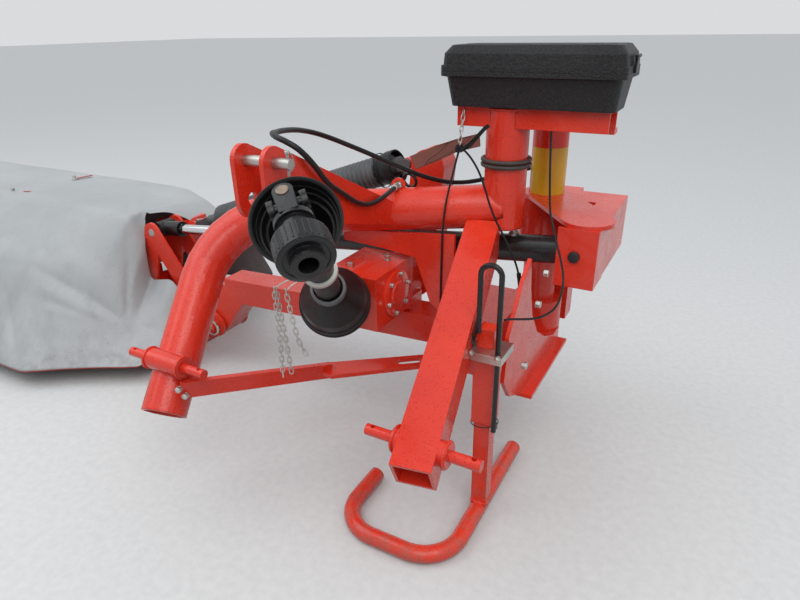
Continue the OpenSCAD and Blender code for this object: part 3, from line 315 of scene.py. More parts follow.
class Shape:
    """A piece's mesh of turned, swept and flat forms, in millimetres on the drawing."""

    def __init__(self):
        self.points = []
        self.faces = []

    def rings(self, rows, closed=False):
        """Skin over rows of points, each row a closed ring."""
        start = len(self.points)
        count = len(rows[0])
        for row in rows:
            self.points.extend(row)
        for r in range(len(rows) if closed else len(rows) - 1):
            a = start + r * count
            b = start + (r + 1) % len(rows) * count
            for i in range(count):
                j = (i + 1) % count
                self.faces.append((a + i, a + j, b + j, b + i))
        if not closed:
            self.faces.append(tuple(range(start + count - 1, start - 1, -1)))
            end = start + (len(rows) - 1) * count
            self.faces.append(tuple(range(end, end + count)))
        return self

    def turned(self, place, axis, profile, sides=32, hollow=False):
        """A turned form: profile gives distances along the axis and radii. A hollow one's profile
        runs out and back, so that it closes on itself."""
        place, axis = Vector(place), Vector(axis).normalized()
        across = axis.orthogonal().normalized()
        up = axis.cross(across)
        rows = [hoop(place + axis * far, across, up, radius, sides) for far, radius in profile]
        return self.rings(rows, hollow)

    def pin(self, a, b, diameter, chamfer=1.5):
        """A round bar from a to b, with chamfered ends."""
        a, b = Vector(a), Vector(b)
        far, r = (b - a).length, diameter / 2
        profile = [(0, r - chamfer), (chamfer, r), (far - chamfer, r), (far, r - chamfer)]
        return self.turned(a, b - a, profile, 24)

    def swept(self, line, radius, sides=8, closed=False):
        """A round bar or bead along a line, its radius a number or one for each point."""
        line = [Vector(p) for p in line]
        rows = []
        side = None
        for i, p in enumerate(line):
            after = line[(i + 1) % len(line)] if closed else line[min(i + 1, len(line) - 1)]
            before = line[i - 1] if closed or i else p
            ahead = (after - before).normalized()
            side = ahead.orthogonal() if side is None else side - ahead * side.dot(ahead)
            side.normalize()
            up = ahead.cross(side)
            rows.append(hoop(p, side, up, radius[i] if hasattr(radius, "__len__") else radius, sides))
        return self.rings(rows, closed)

    def weld(self, line):
        """A weld bead of 8 mm with its ripples, a dot of metal every few millimetres."""
        line = [Vector(p) for p in line]
        dense = []
        for a, b in zip(line, line[1:]):
            steps = max(1, int((b - a).length / 2.2))
            dense += [a.lerp(b, i / steps) for i in range(steps)]
        dense.append(line[-1])
        sizes = [4 * (0.86 + 0.16 * abs(math.sin(i * 0.9)) + random.uniform(-0.04, 0.04))
                 for i in range(len(dense))]
        return self.swept(dense, sizes, 7)

    def ring_weld(self, place, axis, radius, start=0.0, end=360.0):
        """A weld bead round a bar or tube."""
        place, axis = Vector(place), Vector(axis).normalized()
        across = axis.orthogonal().normalized()
        up = axis.cross(across)
        count = max(8, int(abs(end - start) / 6))
        angles = [math.radians(start + (end - start) * i / count) for i in range(count + 1)]
        return self.weld([place + (across * math.cos(a) + up * math.sin(a)) * radius for a in angles])

    def bolt(self, place, axis, across, length):
        """A hexagon bolt's head with its washer, and the thread's end where it stands out."""
        place, axis = Vector(place), Vector(axis).normalized()
        self.turned(place, axis, [(0, across * 0.55), (2.4, across * 0.55), (2.6, across * 0.5)], 28)
        side = across / math.sqrt(3)
        head = across * 0.62
        self.turned(place, axis, [(2.5, side), (2.5 + head * 0.85, side), (2.5 + head, side * 0.86)], 6)
        if length > head + 3:
            self.turned(place, axis, [(2.5 + head, across * 0.30), (length - 1, across * 0.30),
                                      (length, across * 0.24)], 16)

    def slab(self, outline, out, thick):
        """A flat plate: its outline's points, and its thickness towards out."""
        out = Vector(out).normalized() * thick
        low = [Vector(p) for p in outline]
        return self.rings([low, [p + out for p in low]])

    def done(self, name, finish, body, slot):
        """The piece itself, shaded smooth up to 35 degrees, riding on its body."""
        mesh = bpy.data.meshes.new(name)
        mesh.from_pydata([tuple(at(*p)) for p in self.points], [], self.faces)
        mesh.materials.append(finish)
        mesh.validate()
        for face in mesh.polygons:
            face.use_smooth = True
        mesh.set_sharp_from_angle(angle=math.radians(35))
        mesh.update()
        piece = placed(name, mesh)
        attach(piece, body)
        return piece


def pin_block_welds(name, side):
    """Weld beads round a lower hitch pin, on both faces of the block that holds it."""
    welds = Shape()
    for face_x in (347, 477):
        welds.ring_weld((side * face_x, 0, 458), (1, 0, 0), 31)
    welds.done(name, red, "headstock", "red_paint")


random.seed(9)
coat(red_tube, "arch_tube")
pin_block_welds("arch_pin_welds", -1)

# Square tube: 98 mm box section that leans from the right hitch pin up to the front column. Its
# lower end is open, and a blank black plate is riveted to its side.
coat(red, "box_tube", "arch_gusset")
box_foot = Vector((416, -52, 410))
box_way = Vector((-114, 684, 356)).normalized()
box_side_out = Vector((1, 0, 0)) - box_way * box_way.x
box_side_out.normalize()
box_up = box_side_out.cross(box_way).normalized()


def on_box(along, across, lift=0.0):
    """A point on the square tube's right side face: along the tube, across the face, and off it."""
    return box_foot + box_way * along + box_up * across + box_side_out * (49 + lift)


plate_black = plain_finish("plate_black", (0.030, 0.030, 0.032), (0.014, 0.014, 0.015), 0.3, grain=500)
type_plate = Shape()
type_plate.slab([on_box(385, -30), on_box(470, -30), on_box(470, 28), on_box(385, 28)], box_side_out, 1.4)
for along in (391, 464):
    for across in (-25, 23):
        type_plate.turned(on_box(along, across, 1.2), box_side_out, [(0, 2.4), (0.9, 2.1), (1.3, 1.0)], 14)
type_plate.done("blank_plate", plate_black, "headstock", "black_plastic")
rim = Shape()
plate_line = [on_box(along, across, 1.6) for along, across in ((388, -27), (467, -27), (467, 25), (388, 25))]
rim.swept(plate_line, 0.5, 5, True)
white_line = plain_finish("plate_line", (0.60, 0.60, 0.58), (0.42, 0.42, 0.41), 0.4)
rim.done("blank_plate_line", white_line, "headstock", "black_plastic")
pin_block_welds("box_pin_welds", 1)

# Lower hitch pins: turned from round bar, with a hole for the linch pin, under the same red. Bolts and
# fittings of the machine are zinc plated, and the parts that slide or cut are bare steel.
coat(red, "hitch_pins")
zinc = plain_finish("zinc_plate", (0.62, 0.61, 0.57), (0.44, 0.44, 0.42), 0.36, metal=1.0, grain=500,
                    depth=0.0003)
steel = plain_finish("worn_steel", (0.46, 0.44, 0.41), (0.25, 0.17, 0.12), 0.42, metal=0.85, grain=240,
                     depth=0.0006)

# Front column: round tube that carries the toolbox tray, with two rubber bands round it that hold
# hoses in transport, the knot of the two cords with its strap, and a brown rubber flap that guides them.
coat(red_tube, "front_column")
coat(red, "toolbox_tray")
band_brown = plain_finish("band_rubber", (0.075, 0.062, 0.055), (0.040, 0.034, 0.031), 0.6, grain=300)
coat(band_brown, "column_band")
welds = Shape()
welds.ring_weld((339, 688, 1119), (0, 0, 1), 62)
welds.done("tray_weld", red, "headstock", "red_paint")
knot_at = Vector((224, 610, 1011))
knot = Shape()
for tilt, size in ((0.0, 9.0), (1.1, 8.0), (2.2, 7.0)):
    turn_line = [knot_at + Vector((math.cos(a) * size, math.sin(a) * size * 0.7, math.sin(a + tilt) * size))
                 for a in circle(18)]
    knot.swept(turn_line, 3.0, 8, True)
knot.done("cord_knot", braid, "headstock", "rubber")
strap = Shape()
strap.slab([(228, 606, 1010), (262, 596, 1034), (300, 604, 1077), (308, 611, 1083), (314, 611, 1075),
            (306, 602, 1068), (268, 594, 1022), (234, 604, 1001)], (0, -1, 0), 2.2)
strap.done("knot_strap", braid, "headstock", "rubber")
leather = plain_finish("flap_brown", (0.30, 0.105, 0.075), (0.19, 0.070, 0.055), 0.5, grain=300)
flap = Shape()
flap.slab([(61, 622, 974), (138, 622, 1008), (204, 628, 1032), (270, 648, 1050), (274, 648, 1014),
           (211, 628, 997), (150, 622, 966), (81, 622, 936)], (0, -1, 0), 4)
flap.done("rope_guide_flap", leather, "headstock", "rubber")

# Toolbox: moulded box of coarse-grained black plastic with a rim, and a lid with two raised beads, which
# turns on a hinge at the rear and closes with a latch at its left end.


def grained_plastic():
    finish, surface, place = new_finish("coarse_grain_plastic", 0.45, shine=0.35)
    cloud = noise(finish, place, 6)
    colour = ramp(finish, cloud, [(0.3, (0.005, 0.005, 0.006)), (0.7, (0.011, 0.011, 0.012))])
    grain = noise(finish, place, 210, 2, 0.7)
    # The raised tops of the grain are real relief. Their lighter grey colour is a painted highlight that
    # stands for small glints on the wet plastic.
    grain_and_painted_glints = ramp(finish, grain, [(0.45, 0.0), (0.62, 1.0)])
    beads = drops(finish, place, 0.006, 0.0021)
    colour = mixed(finish, arithmetic(finish, "MULTIPLY", grain_and_painted_glints, 0.4), colour, (0.045, 0.045, 0.048, 1))
    connect(finish, colour, surface, "Base Color")
    relief(finish, surface, [(grain_and_painted_glints, 0.0009), (beads, 0.0009)], 0.003)
    return finish


guard_black = plain_finish("guard_plastic", (0.010, 0.010, 0.011), (0.005, 0.005, 0.006), 0.42, grain=350,
                           wet=0.0018, edge=0.008, shine=0.35)
box_plastic = grained_plastic()
coat(box_plastic, "toolbox", "toolbox_lid")
lid_low, lid_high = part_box("toolbox_lid")
lid_low = (lid_low - HITCH) * 1000
lid_high = (lid_high - HITCH) * 1000
latch = Shape()
end_x = lid_high.x
latch.slab([(end_x, y, z) for y, z in ((668, 1216), (712, 1216), (706, 1252), (674, 1252))], (1, 0, 0), 6)
latch.pin((end_x + 4, 664, 1254), (end_x + 4, 716, 1254), 9)
latch.done("lid_latch", guard_black, "lid", "black_plastic")
lid_trim = Shape()
bead_z = lid_high.z - 1.2
for inset in (34, 58):
    x0, x1, y0, y1 = lid_low.x + inset, lid_high.x - inset, lid_low.y + inset, lid_high.y - inset - 8
    lid_trim.swept([(x0, y0, bead_z), (x1, y0, bead_z), (x1, y1, bead_z), (x0, y1, bead_z)], 1.8, 6, True)
lid_trim.done("lid_beads", box_plastic, "lid", "black_plastic")

# Rear pivot column with the plates that tie it to the front column, and the bolts of its side plate.
# The yellow sticker on its front is left without words or signs.
coat(red_tube, "pivot_column")
coat(red, "side_plate", "column_tie")
yellow = plain_finish("sticker_yellow", (0.75, 0.52, 0.02), (0.62, 0.42, 0.016), 0.35, coat=0.3)
column_x, column_y = 387, 974
sticker_out, sticker_foot, sticker_height = 57.6, 806, 164
arc = [math.radians(a) for a in range(-50, 89, 6)]
low_arc = [Vector((column_x + sticker_out * math.sin(a), column_y - sticker_out * math.cos(a), sticker_foot))
           for a in arc]
sticker = Shape()
sticker.points = low_arc + [p + Vector((0, 0, sticker_height)) for p in low_arc]
sticker.faces = [(i, i + 1, len(arc) + i + 1, len(arc) + i) for i in range(len(arc) - 1)]
sticker.done("blank_sticker", yellow, "headstock", "red_paint")
bolts = Shape()
side_out = (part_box("side_plate")[1].x - HITCH.x) * 1000
for y, z in ((430, 470), (520, 620), (578, 692)):
    bolts.bolt((side_out, y, z), (1, 0, 0), 19, 11)
bolts.done("side_plate_bolts", zinc, "headstock", "plated_steel")

# Top link plates: two plates cut from sheet, welded to the arch, with the loose top link pin, which
# has a linch pin through its end, and the lifting eye and the hose's ring bracket behind them.
coat(red, "top_link_plates")
coat(zinc, "top_link_pin")
chrome = plain_finish("hard_chrome", (0.78, 0.78, 0.79), (0.66, 0.67, 0.69), 0.10, metal=1.0, grain=300,
                      depth=0.00004)
black_paint = plain_finish("black_enamel", (0.011, 0.011, 0.012), (0.006, 0.006, 0.007), 0.3, coat=0.15,
                           grain=260, wet=0.0020, shine=0.35)
linch_x, linch_y = 84, 22
linch = Shape()
linch.pin((linch_x, linch_y, 1042), (linch_x, linch_y, 1092), 7, 1)
half_turn = [math.radians(d) for d in range(0, 181, 12)]
linch.swept([(linch_x + 1, linch_y + 17 * math.sin(a), 1072 + 21 * math.cos(a)) for a in half_turn], 1.7, 8)
linch.pin((linch_x, linch_y, 1090), (linch_x, linch_y, 1097), 12, 1)
linch.done("top_linch_pin", zinc, "headstock", "plated_steel")
eye_at = Vector((52, 634, 897))
full_turn = [math.radians(d) for d in range(0, 360, 15)]
eye = Shape()
eye.swept([eye_at + Vector((22 * math.cos(a), -7 * math.sin(a), 22 * math.sin(a))) for a in full_turn],
          5.0, 10, True)
eye.done("lifting_eye", black_paint, "headstock", "black_paint")
hose_way = (0.3, -0.95, 0.04)
bracket = Shape()
bracket.turned((33, 598, 889.6), hose_way, [(0, 13), (0, 22), (9, 22), (9, 13)], 28, True)
bracket.slab([(18, 600, 868), (48, 600, 872), (46, 600, 884), (20, 600, 882)], (0, -1, 0), 9)
bracket.done("hose_bracket", red, "headstock", "red_paint")
fitting = Shape()
fitting.turned((33, 602, 889.6), hose_way, [(0, 9.5), (2, 10.5), (12, 10.5), (13, 12), (22, 12), (24, 9)], 6)
fitting.turned((35, 580, 890), hose_way, [(0, 9), (1, 10.4), (28, 10.4), (32, 8.4), (33, 7.4)], 24)
fitting.done("hose_fitting", zinc, "headstock", "plated_steel")

# Brace: flat bar from the arch's foot to the rear column's foot, with an eye slot, bolted to a
# bracket at the arch with two bolts.
coat(red, "brace_bar")
bolts = Shape()
for x, y, z in ((-338, -8, 410), (-330, 4, 384)):
    bolts.bolt((x, y - 24, z), (0.3, -0.95, 0), 17, 15)
bolts.done("brace_bolts", zinc, "headstock", "plated_steel")

# Parking stand: a square leg with a foot bent from round tube, which slides in a sleeve on the square
# tube. A galvanised clamp and a wire ring with its clip hold the leg and the hooked rod.
coat(red_tube, "stand")
coat(red, "stand_sleeve")
coat(zinc, "stand_clamp")
coat(black_paint, "hook_rod")
leg_x, leg_y = 440, 333
half_leg = 22.5
left, right, front, back = leg_x + half_leg, leg_x - half_leg, leg_y - half_leg, leg_y + half_leg
welds = Shape()
for a, b in (((right, front), (left, front)), ((left, front), (left, back)), ((right, front), (right, back))):
    welds.weld([(*a, 46), (*b, 46)])
welds.done("foot_welds", red, "parking_stand", "red_paint")
spring_ring = Shape()
spring_ring.swept([(leg_x + 38 * math.cos(a), leg_y + 38 * math.sin(a), 322 + 6 * math.cos(a + 0.8))
                   for a in circle(30)], 1.6, 8, True)
spring_ring.pin((478, 322, 318), (486, 300, 352), 7, 1)
spring_ring.done("stand_ring", black_paint, "headstock", "black_paint")
bolts = Shape()
for x in (417, 488):
    bolts.bolt((x, 274, 568), (0, -1, 0), 13, 12)
bolts.done("clamp_bolts", zinc, "headstock", "plated_steel")

# Tractor shaft: the yoke with its pull collar, the cross with its caps, and the black plastic guards,
# whose bells are stepped and have a rolled rim. A white collar and chains hold them still.
white_cap = plain_finish("white_plastic", (0.80, 0.79, 0.74), (0.62, 0.61, 0.57), 0.4, grain=300)
coat(guard_black, "front_guard", "guard_tube", "rear_guard")
coat(white_cap, "guard_collar")
coat(black_paint, "front_yoke", "shaft_core")
shaft_rear = Vector((-22, 300, 610))
shaft_front = Vector((211, -124, 1000))
shaft_way = (shaft_front - shaft_rear).normalized()


def guard_rims(name, mouth, way, rim, steps, low, high, inner):
    """A guard's rolled rim and the steps of its bell, each step's depth and radius, with its height at
    both edges and its inner side measured from that radius."""
    rims = Shape()
    rims.turned(mouth, way, rim, 56, True)
    for depth, radius in steps:
        step = [(depth - 2, radius + low), (depth + 2, radius + high), (depth + 2, radius + inner),
                (depth - 2, radius + inner)]
        rims.turned(mouth, way, step, 48, True)
    rims.done(name, guard_black, "headstock", "black_plastic")


guard_rims("front_guard_rims", shaft_front, shaft_way,
           [(-2, 88.5), (2, 90.5), (6, 90.5), (8, 88.0), (6, 85.5), (-2, 84.5)],
           ((-16, 82.0), (-34, 76.0), (-52, 66.5)), 2, 2.5, -3)
guard_rims("rear_guard_rims", shaft_rear, -shaft_way,
           [(8, 103.0), (12, 105.0), (16, 105.0), (17, 102.0), (14, 99.5), (8, 99.5)],
           ((-12, 96.0), (-34, 88.0), (-62, 76.0), (-90, 60.0)), 3, 4.5, 1)
ring_band = Shape()
ring_band.turned(shaft_rear + shaft_way * 128, shaft_way,
                 [(0, 40), (0, 46), (4, 48), (20, 48), (24, 46), (24, 40)], 40, True)
grey_band = plain_finish("grey_band", (0.20, 0.205, 0.21), (0.12, 0.125, 0.13), 0.45, grain=350)
ring_band.done("rear_guard_band", grey_band, "headstock", "grey_plastic")
knob = Shape()
knob.turned(shaft_rear + shaft_way * 345 + Vector((-36, -20, 12)), (-0.8, -0.5, 0.3),
            [(0, 6), (10, 7), (14, 12), (24, 13), (28, 10)], 24)
knob.done("guard_knob", guard_black, "headstock", "black_plastic")
yoke_joint = Vector((239.1, -175.2, 1047.1))
yoke_way = (Vector((349, -272, 987)) - yoke_joint).normalized()
cross_way = shaft_way.cross(yoke_way).normalized()
other_way = yoke_way.cross(cross_way).normalized()
caps = Shape()
for side in (-1, 1):
    caps.turned(yoke_joint + other_way * side * 31, other_way * side,
                [(0, 12), (7.5, 12), (8.6, 10.5), (8.2, 7)], 28)
caps.turned(yoke_joint, shaft_way, [(10, 8), (16, 8), (17, 5), (23, 4), (24, 2)], 16)
caps.done("cross_caps", steel, "free_yoke", "worn_steel")
grip_ring = Shape()
for foot in hoop(yoke_joint + yoke_way * 101, cross_way, other_way, 49.2, 30):
    grip_ring.swept([foot, foot + yoke_way * 36], 2.0, 6)
collar = yoke_joint + yoke_way * 98
grip_ring.turned(collar, yoke_way, [(41, 40), (43, 47), (45.4, 49), (47, 46), (47, 40), (44, 38)], 40, True)
grip_ring.done("pull_collar_grips", black_paint, "free_yoke", "black_paint")
bore = Shape()
bore.turned(collar, yoke_way, [(59.0, 21.5), (61.0, 24.5), (60.6, 29.0), (57, 30.4), (56, 26)], 40, True)
bore.done("yoke_mouth", black_paint, "free_yoke", "black_paint")


def chain(name, points):
    """A chain of bent wire links between points, each link turned against the last."""
    links = Shape()
    line = [Vector(p) for p in points]
    far = 0.0
    count = 0
    for a, b in zip(line, line[1:]):
        way = (b - a).normalized()
        flat = way.orthogonal().normalized()
        other = way.cross(flat)
        while far < (b - a).length:
            middle = a + way * far
            wide = flat if count % 2 else other
            link = [middle + way * (math.cos(a) * 5.0 + (5.0 if math.cos(a) > 0 else -5.0))
                    + wide * math.sin(a) * 5.0 for a in circle(14)]
            links.swept(link, 1.6, 6, True)
            far += 15.0
            count += 1
        far -= (b - a).length
    links.done(name, zinc, "headstock", "plated_steel")


chain("guard_chain_left", [(-11, 40, 750), (-10, 40, 640), (-14, 40, 507)])
chain("guard_chain_loop", [(-7, 44, 750), (2, 44, 640), (13, 44, 515)])
chain("guard_chain_right", [(26, 40, 752), (36, 40, 685), (48, 40, 626), (72, 40, 584)])
chain("knot_chain", [(224, 612, 1020), (225, 636, 1112)])
holders = Shape()
holders.swept([(-11, 40, 752), (2, 46, 764), (14, 56, 772), (28, 66, 778), (46, 76, 782)], 1.8, 8)
holders.swept([(26, 40, 754), (34, 52, 766), (48, 66, 776), (60, 78, 782)], 1.8, 8)
holders.done("chain_hooks", zinc, "headstock", "plated_steel")

# Gearbox and transfer case: cast iron under red paint, with round covers on both sides and round its
# input, each held by six bolts, and an oil plug and a breather on top.
coat(red, "gearbox", "transfer_case")
gear_y, gear_z = 500, 575
input_x, input_z = shaft_rear.x, shaft_rear.z
castings = Shape()
castings.turned((68, gear_y, gear_z), (1, 0, 0), [(0, 74), (7, 74), (9, 71), (9, 40), (14, 36)], 40)
castings.turned((-112, gear_y, gear_z), (-1, 0, 0), [(0, 74), (7, 74), (9, 71), (9, 30)], 40)
castings.turned((input_x, 384, input_z), (0, -1, 0), [(-2, 62), (6, 62), (8, 60), (8, 52)], 40)
castings.done("gearbox_covers", red, "arm", "red_paint")
bolts = Shape()
for i in range(6):
    angle = math.radians(60 * i + 15)
    y, z = gear_y + 62 * math.cos(angle), gear_z + 62 * math.sin(angle)
    bolts.bolt((77, y, z), (1, 0, 0), 13, 10)
    bolts.bolt((-121, y, z), (-1, 0, 0), 13, 10)
    bolts.bolt((input_x + 56 * math.cos(angle), 376, input_z + 56 * math.sin(angle)), (0, -1, 0), 10, 8)
bolts.bolt((-60, 450, 660), (0, 0, 1), 17, 12)
bolts.turned((20, 540, 660), (0, 0, 1), [(0, 9), (4, 9), (5, 6), (12, 6), (13, 11), (20, 11), (22, 7)], 20)
bolts.done("gearbox_bolts", zinc, "arm", "plated_steel")

# Swing arm: box section in red with the yoke that turns on the rear column, the knuckle at its end
# and the fold hinge's pin, held at both ends by a keeper ring and a bolt.
coat(red, "pivot_yoke", "swing_arm", "hinge_pin")
keepers = Shape()
for end, out in zip(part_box("hinge_pin"), (-1, 1)):
    pin_end = (-890, (end.y - HITCH.y) * 1000, 180)
    keepers.turned(pin_end, (0, out, 0), [(-14, 30), (-14, 36), (-6, 36), (-5, 30)], 32, True)
    keepers.bolt(pin_end, (0, out, 0), 17, 10)
keepers.done("hinge_keepers", zinc, "arm", "plated_steel")
welds = Shape()
welds.ring_weld((column_x, column_y, 640), (0, 0, 1), 86)
welds.ring_weld((column_x, column_y, 808), (0, 0, 1), 76, 200, 340)
welds.done("yoke_welds", red, "arm", "red_paint")

# Lift cylinder: dark painted barrel with a gland nut and a port, a chromed rod, and a forged rod end
# held between the link frame's plates by two stub pins.
barrel_grey = plain_finish("barrel_grey", (0.020, 0.021, 0.023), (0.012, 0.013, 0.014), 0.3, coat=0.15,
                           grain=300, wet=0.0020, edge=0.008, shine=0.4)
coat(barrel_grey, "lift_barrel")
coat(chrome, "lift_rod")
coat(black_paint, "rod_end")
coat(zinc, "lift_pin")
lift_base = Vector((570, 700, 728))
rod_eye = Vector((-1183, 700, 551))
lift_way = (rod_eye - lift_base).normalized()
side = lift_way.orthogonal().normalized()
gland = Shape()
gland.turned(lift_base + lift_way * 940, lift_way,
             [(0, 42.5), (2, 44.5), (40, 44.5), (43, 42), (46, 40), (46, 22)], 40)
for foot in hoop(lift_base + lift_way * 985.5, side, lift_way.cross(side), 34, 6):
    gland.turned(foot, lift_way, [(0, 3.2), (1.2, 3.2)], 12)
gland.done("barrel_gland", barrel_grey, "barrel", "black_paint")
port_at = lift_base + lift_way * 200
port = Shape()
port.turned(port_at + Vector((0, 0, 38)), (0, 0, 1), [(0, 15), (10, 15), (12, 12), (14, 12), (15, 9)], 24)
port.bolt(port_at + Vector((0, 0, 52)), (0, 0, 1), 22, 8)
port.done("barrel_port", zinc, "barrel", "plated_steel")
lock_nut = Shape()
lock_nut.turned(lift_base + lift_way * ((rod_eye - lift_base).length - 128), lift_way,
                [(0, 21), (2, 26), (16, 26), (18, 24)], 6)
lock_nut.done("rod_nut", black_paint, "rod", "black_paint")

# Cross shaft: the drive from the transfer case out to the cutting unit, in a ribbed grey guard with a
# folded sleeve, and a black bell at its upper end.
grey_rib = plain_finish("ribbed_grey", (0.115, 0.12, 0.125), (0.070, 0.074, 0.078), 0.5, grain=420,
                        wet=0.0018)
coat(grey_rib, "cross_shaft_outer", "cross_shaft_inner")
coat(guard_black, "cross_shaft_guard")
drive_top = Vector((-62, 850, 900))
drive_way = (Vector((-1100, 850, 545)) - drive_top).normalized()
sleeve_top = drive_top + drive_way * 592
sleeve_length = 380.0
valley, crest, inside = 46.0, 52.5, 42.0
step = sleeve_length / 38
folds = []
for i in range(38):
    folds += [(i * step, valley), (i * step + step * 0.30, crest), (i * step + step * 0.55, crest),
              (i * step + step * 0.85, valley)]
folds += [(sleeve_length, valley), (sleeve_length, inside), (0, inside)]
sleeve = Shape()
sleeve.turned(sleeve_top, drive_way, folds, 40, True)
bellows = sleeve.done("ribbed_sleeve", grey_rib, "drive_outer", "grey_plastic")
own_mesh(bellows)
clips = Shape()
clips.turned(drive_top + drive_way * 112, drive_way, [(0, 60), (0, 62), (8, 62), (8, 60)], 40, True)
screw_at = drive_top + drive_way * 116
clips.pin(screw_at + Vector((0, -60, 8)), screw_at + Vector((0, -60, -10)), 6, 1)
clips.done("bell_clamp", black_paint, "drive_outer", "black_paint")

# Cutting unit: link frame and beam in red, the cutter bar with its seven discs, and skids of worn
# steel underneath. Each disc has a black cap, held by one bolt in its middle and three round it.
coat(red, "link_frame", "mower_beam", "cutter_bar", "inner_shoe", "outer_shoe", "mower_gearbox",
     "cover_frame")
coat(steel, "skid_shoes", *[f"disc_{i}" for i in range(1, 8)])
coat(guard_black, "swath_board")
for i in range(1, 8):
    low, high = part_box(f"disc_{i}")
    middle = ((low + high) / 2 - HITCH) * 1000
    top = (high.z - HITCH.z) * 1000
    dome = Shape()
    dome.turned((middle.x, middle.y, top - 1), (0, 0, 1), [(0, 62), (3, 60), (7, 50), (9, 34), (9, 14)], 40)
    dome.bolt((middle.x, middle.y, top + 7), (0, 0, 1), 22, 15)
    for angle in (math.radians(60), math.radians(180), math.radians(300)):
        x, y = middle.x + 47 * math.cos(angle), middle.y + 47 * math.sin(angle)
        dome.bolt((x, y, top + 5), (0, 0, 1), 12, 8)
    dome.done(f"disc_cap_{i}", black_paint, f"cutter_{i}", "worn_steel")
bar_low, bar_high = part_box("cutter_bar")
bolt_y = (bar_low.y - HITCH.y) * 1000 + 16
bolt_z = (bar_high.z - HITCH.z) * 1000 - 20
bolts = Shape()
for i in range(14):
    bolts.bolt((-1200 - i * 200, bolt_y, bolt_z), (0, 0, 1), 13, 10)
bolts.done("bar_bolts", zinc, "mower", "plated_steel")
white_blank = plain_finish("sticker_white", (0.62, 0.63, 0.64), (0.52, 0.53, 0.55), 0.4)
blank = Shape()
blank.turned((-941, 628, 174), (0, -1, 0), [(0, 19), (0.8, 19), (0.8, 14)], 28)
blank.done("blank_disc_sticker", white_blank, "mower", "red_paint")

# Fabric cover: one sheet of light grey coated polyester, laid over the cover frame from the rear hem
# over the roof and down the front, with loose tongues at the inner end on both sides of the link.


def tarpaulin():
    finish, surface, place = new_finish("grey_tarpaulin", 0.5, sheen=0.1)
    cloud = noise(finish, place, 2.2, 6)
    colour = ramp(finish, cloud, [(0.25, (0.36, 0.375, 0.38)), (0.75, (0.47, 0.485, 0.49))])
    # Painted shade: long darker grey streaks, which fade in from 0.62 m down to 0.10 m high, darken the
    # sheet's lower part where the cover lies in shade.
    stretched = node(finish, "ShaderNodeVectorMath", {0: place, 1: (9, 9, 1.3)}, operation="MULTIPLY")
    painted_shade_streaks = ramp(finish, noise(finish, stretched.outputs[0], 1.4, 6), [(0.48, 0.0), (0.66, 1.0)])
    height = node(finish, "ShaderNodeSeparateXYZ", {0: place}).outputs["Z"]
    low = spread(finish, height, 0.62, 0.10, 0.03, 0.35)
    colour = mixed(finish, arithmetic(finish, "MULTIPLY", painted_shade_streaks, low), colour, (0.24, 0.25, 0.255, 1))
    hem = spread(finish, height, 0.17, 0.07, 0.0, 0.5)
    mud = ramp(finish, noise(finish, place, 30, 8), [(0.45, 0.0), (0.7, 1.0)])
    colour = mixed(finish, arithmetic(finish, "MULTIPLY", hem, mud), colour, (0.22, 0.19, 0.15, 1))
    beads = drops(finish, place, 0.010, 0.0032)
    colour = mixed(finish, arithmetic(finish, "MULTIPLY", beads, 0.25), colour, (0.22, 0.23, 0.235, 1))
    connect(finish, colour, surface, "Base Color")
    connect(finish, ramp(finish, noise(finish, place, 5), [(0.3, 0.42), (0.7, 0.62)]), surface, "Roughness")
    threads = [node(finish, "ShaderNodeTexWave", {"Vector": place, "Scale": 260.0}, bands_direction=way)
               for way in ("X", "DIAGONAL")]
    weave = arithmetic(finish, "MULTIPLY", threads[0].outputs["Fac"], threads[1].outputs["Fac"])
    relief(finish, surface, [(noise(finish, place, 24, 5), 0.0016), (weave, 0.00018), (beads, 0.0008)])
    return finish


fabric = tarpaulin()


def sheet_net(net, there, columns, rows, rounds):
    """Points and faces of a sheet through a net of points. Each cell of the net that is there is cut
    into small squares, and then the folds are rounded by so many passes of smoothing. The first row's
    and the last row's points come back too, as the hems."""
    spots, faces, found = [], [], {}

    def spot(r, c, i, j):
        key = (round(r + j / rows[r], 5), round(c + i / columns[c], 5))
        if key not in found:
            found[key] = len(spots)
            s, t = i / columns[c], j / rows[r]
            upper = Vector(net[r][c]).lerp(Vector(net[r][c + 1]), s)
            lower = Vector(net[r + 1][c]).lerp(Vector(net[r + 1][c + 1]), s)
            spots.append(upper.lerp(lower, t))
        return found[key]

    for r in range(len(net) - 1):
        for c in range(len(net[0]) - 1):
            if there(r, c):
                for j in range(rows[r]):
                    for i in range(columns[c]):
                        faces.append((spot(r, c, i, j), spot(r, c, i + 1, j), spot(r, c, i + 1, j + 1),
                                      spot(r, c, i, j + 1)))
    shared = {}
    for face in faces:
        for a, b in zip(face, face[1:] + face[:1]):
            side = (min(a, b), max(a, b))
            shared[side] = shared.get(side, 0) + 1
    near = [set() for _ in spots]
    rim = [set() for _ in spots]
    for (a, b), count in shared.items():
        near[a].add(b)
        near[b].add(a)
        if count == 1:
            rim[a].add(b)
            rim[b].add(a)
    for _ in range(rounds):
        old = [p.copy() for p in spots]
        for i, p in enumerate(old):
            around = rim[i] or near[i]
            if len(around) > 1:
                spots[i] = p * 0.5 + sum((old[k] for k in around), Vector()) * (0.5 / len(around))
    hems = [[found[key] for key in sorted(found) if key[0] == row] for row in (0, len(net) - 1)]
    return spots, faces, hems


def crease(p, a, b, height, width):
    """A fold of a sheet along the line from a to b, highest in its middle and fading to its ends."""
    a, b = Vector(a), Vector(b)
    t = max(0.0, min(1.0, (p - a).dot(b - a) / (b - a).length_squared))
    far = (p - a - (b - a) * t).length / width
    return height * math.exp(-far * far) * (0.3 + 0.7 * math.sin(math.pi * t) ** 0.7 if 0 < t < 1 else 0.3)


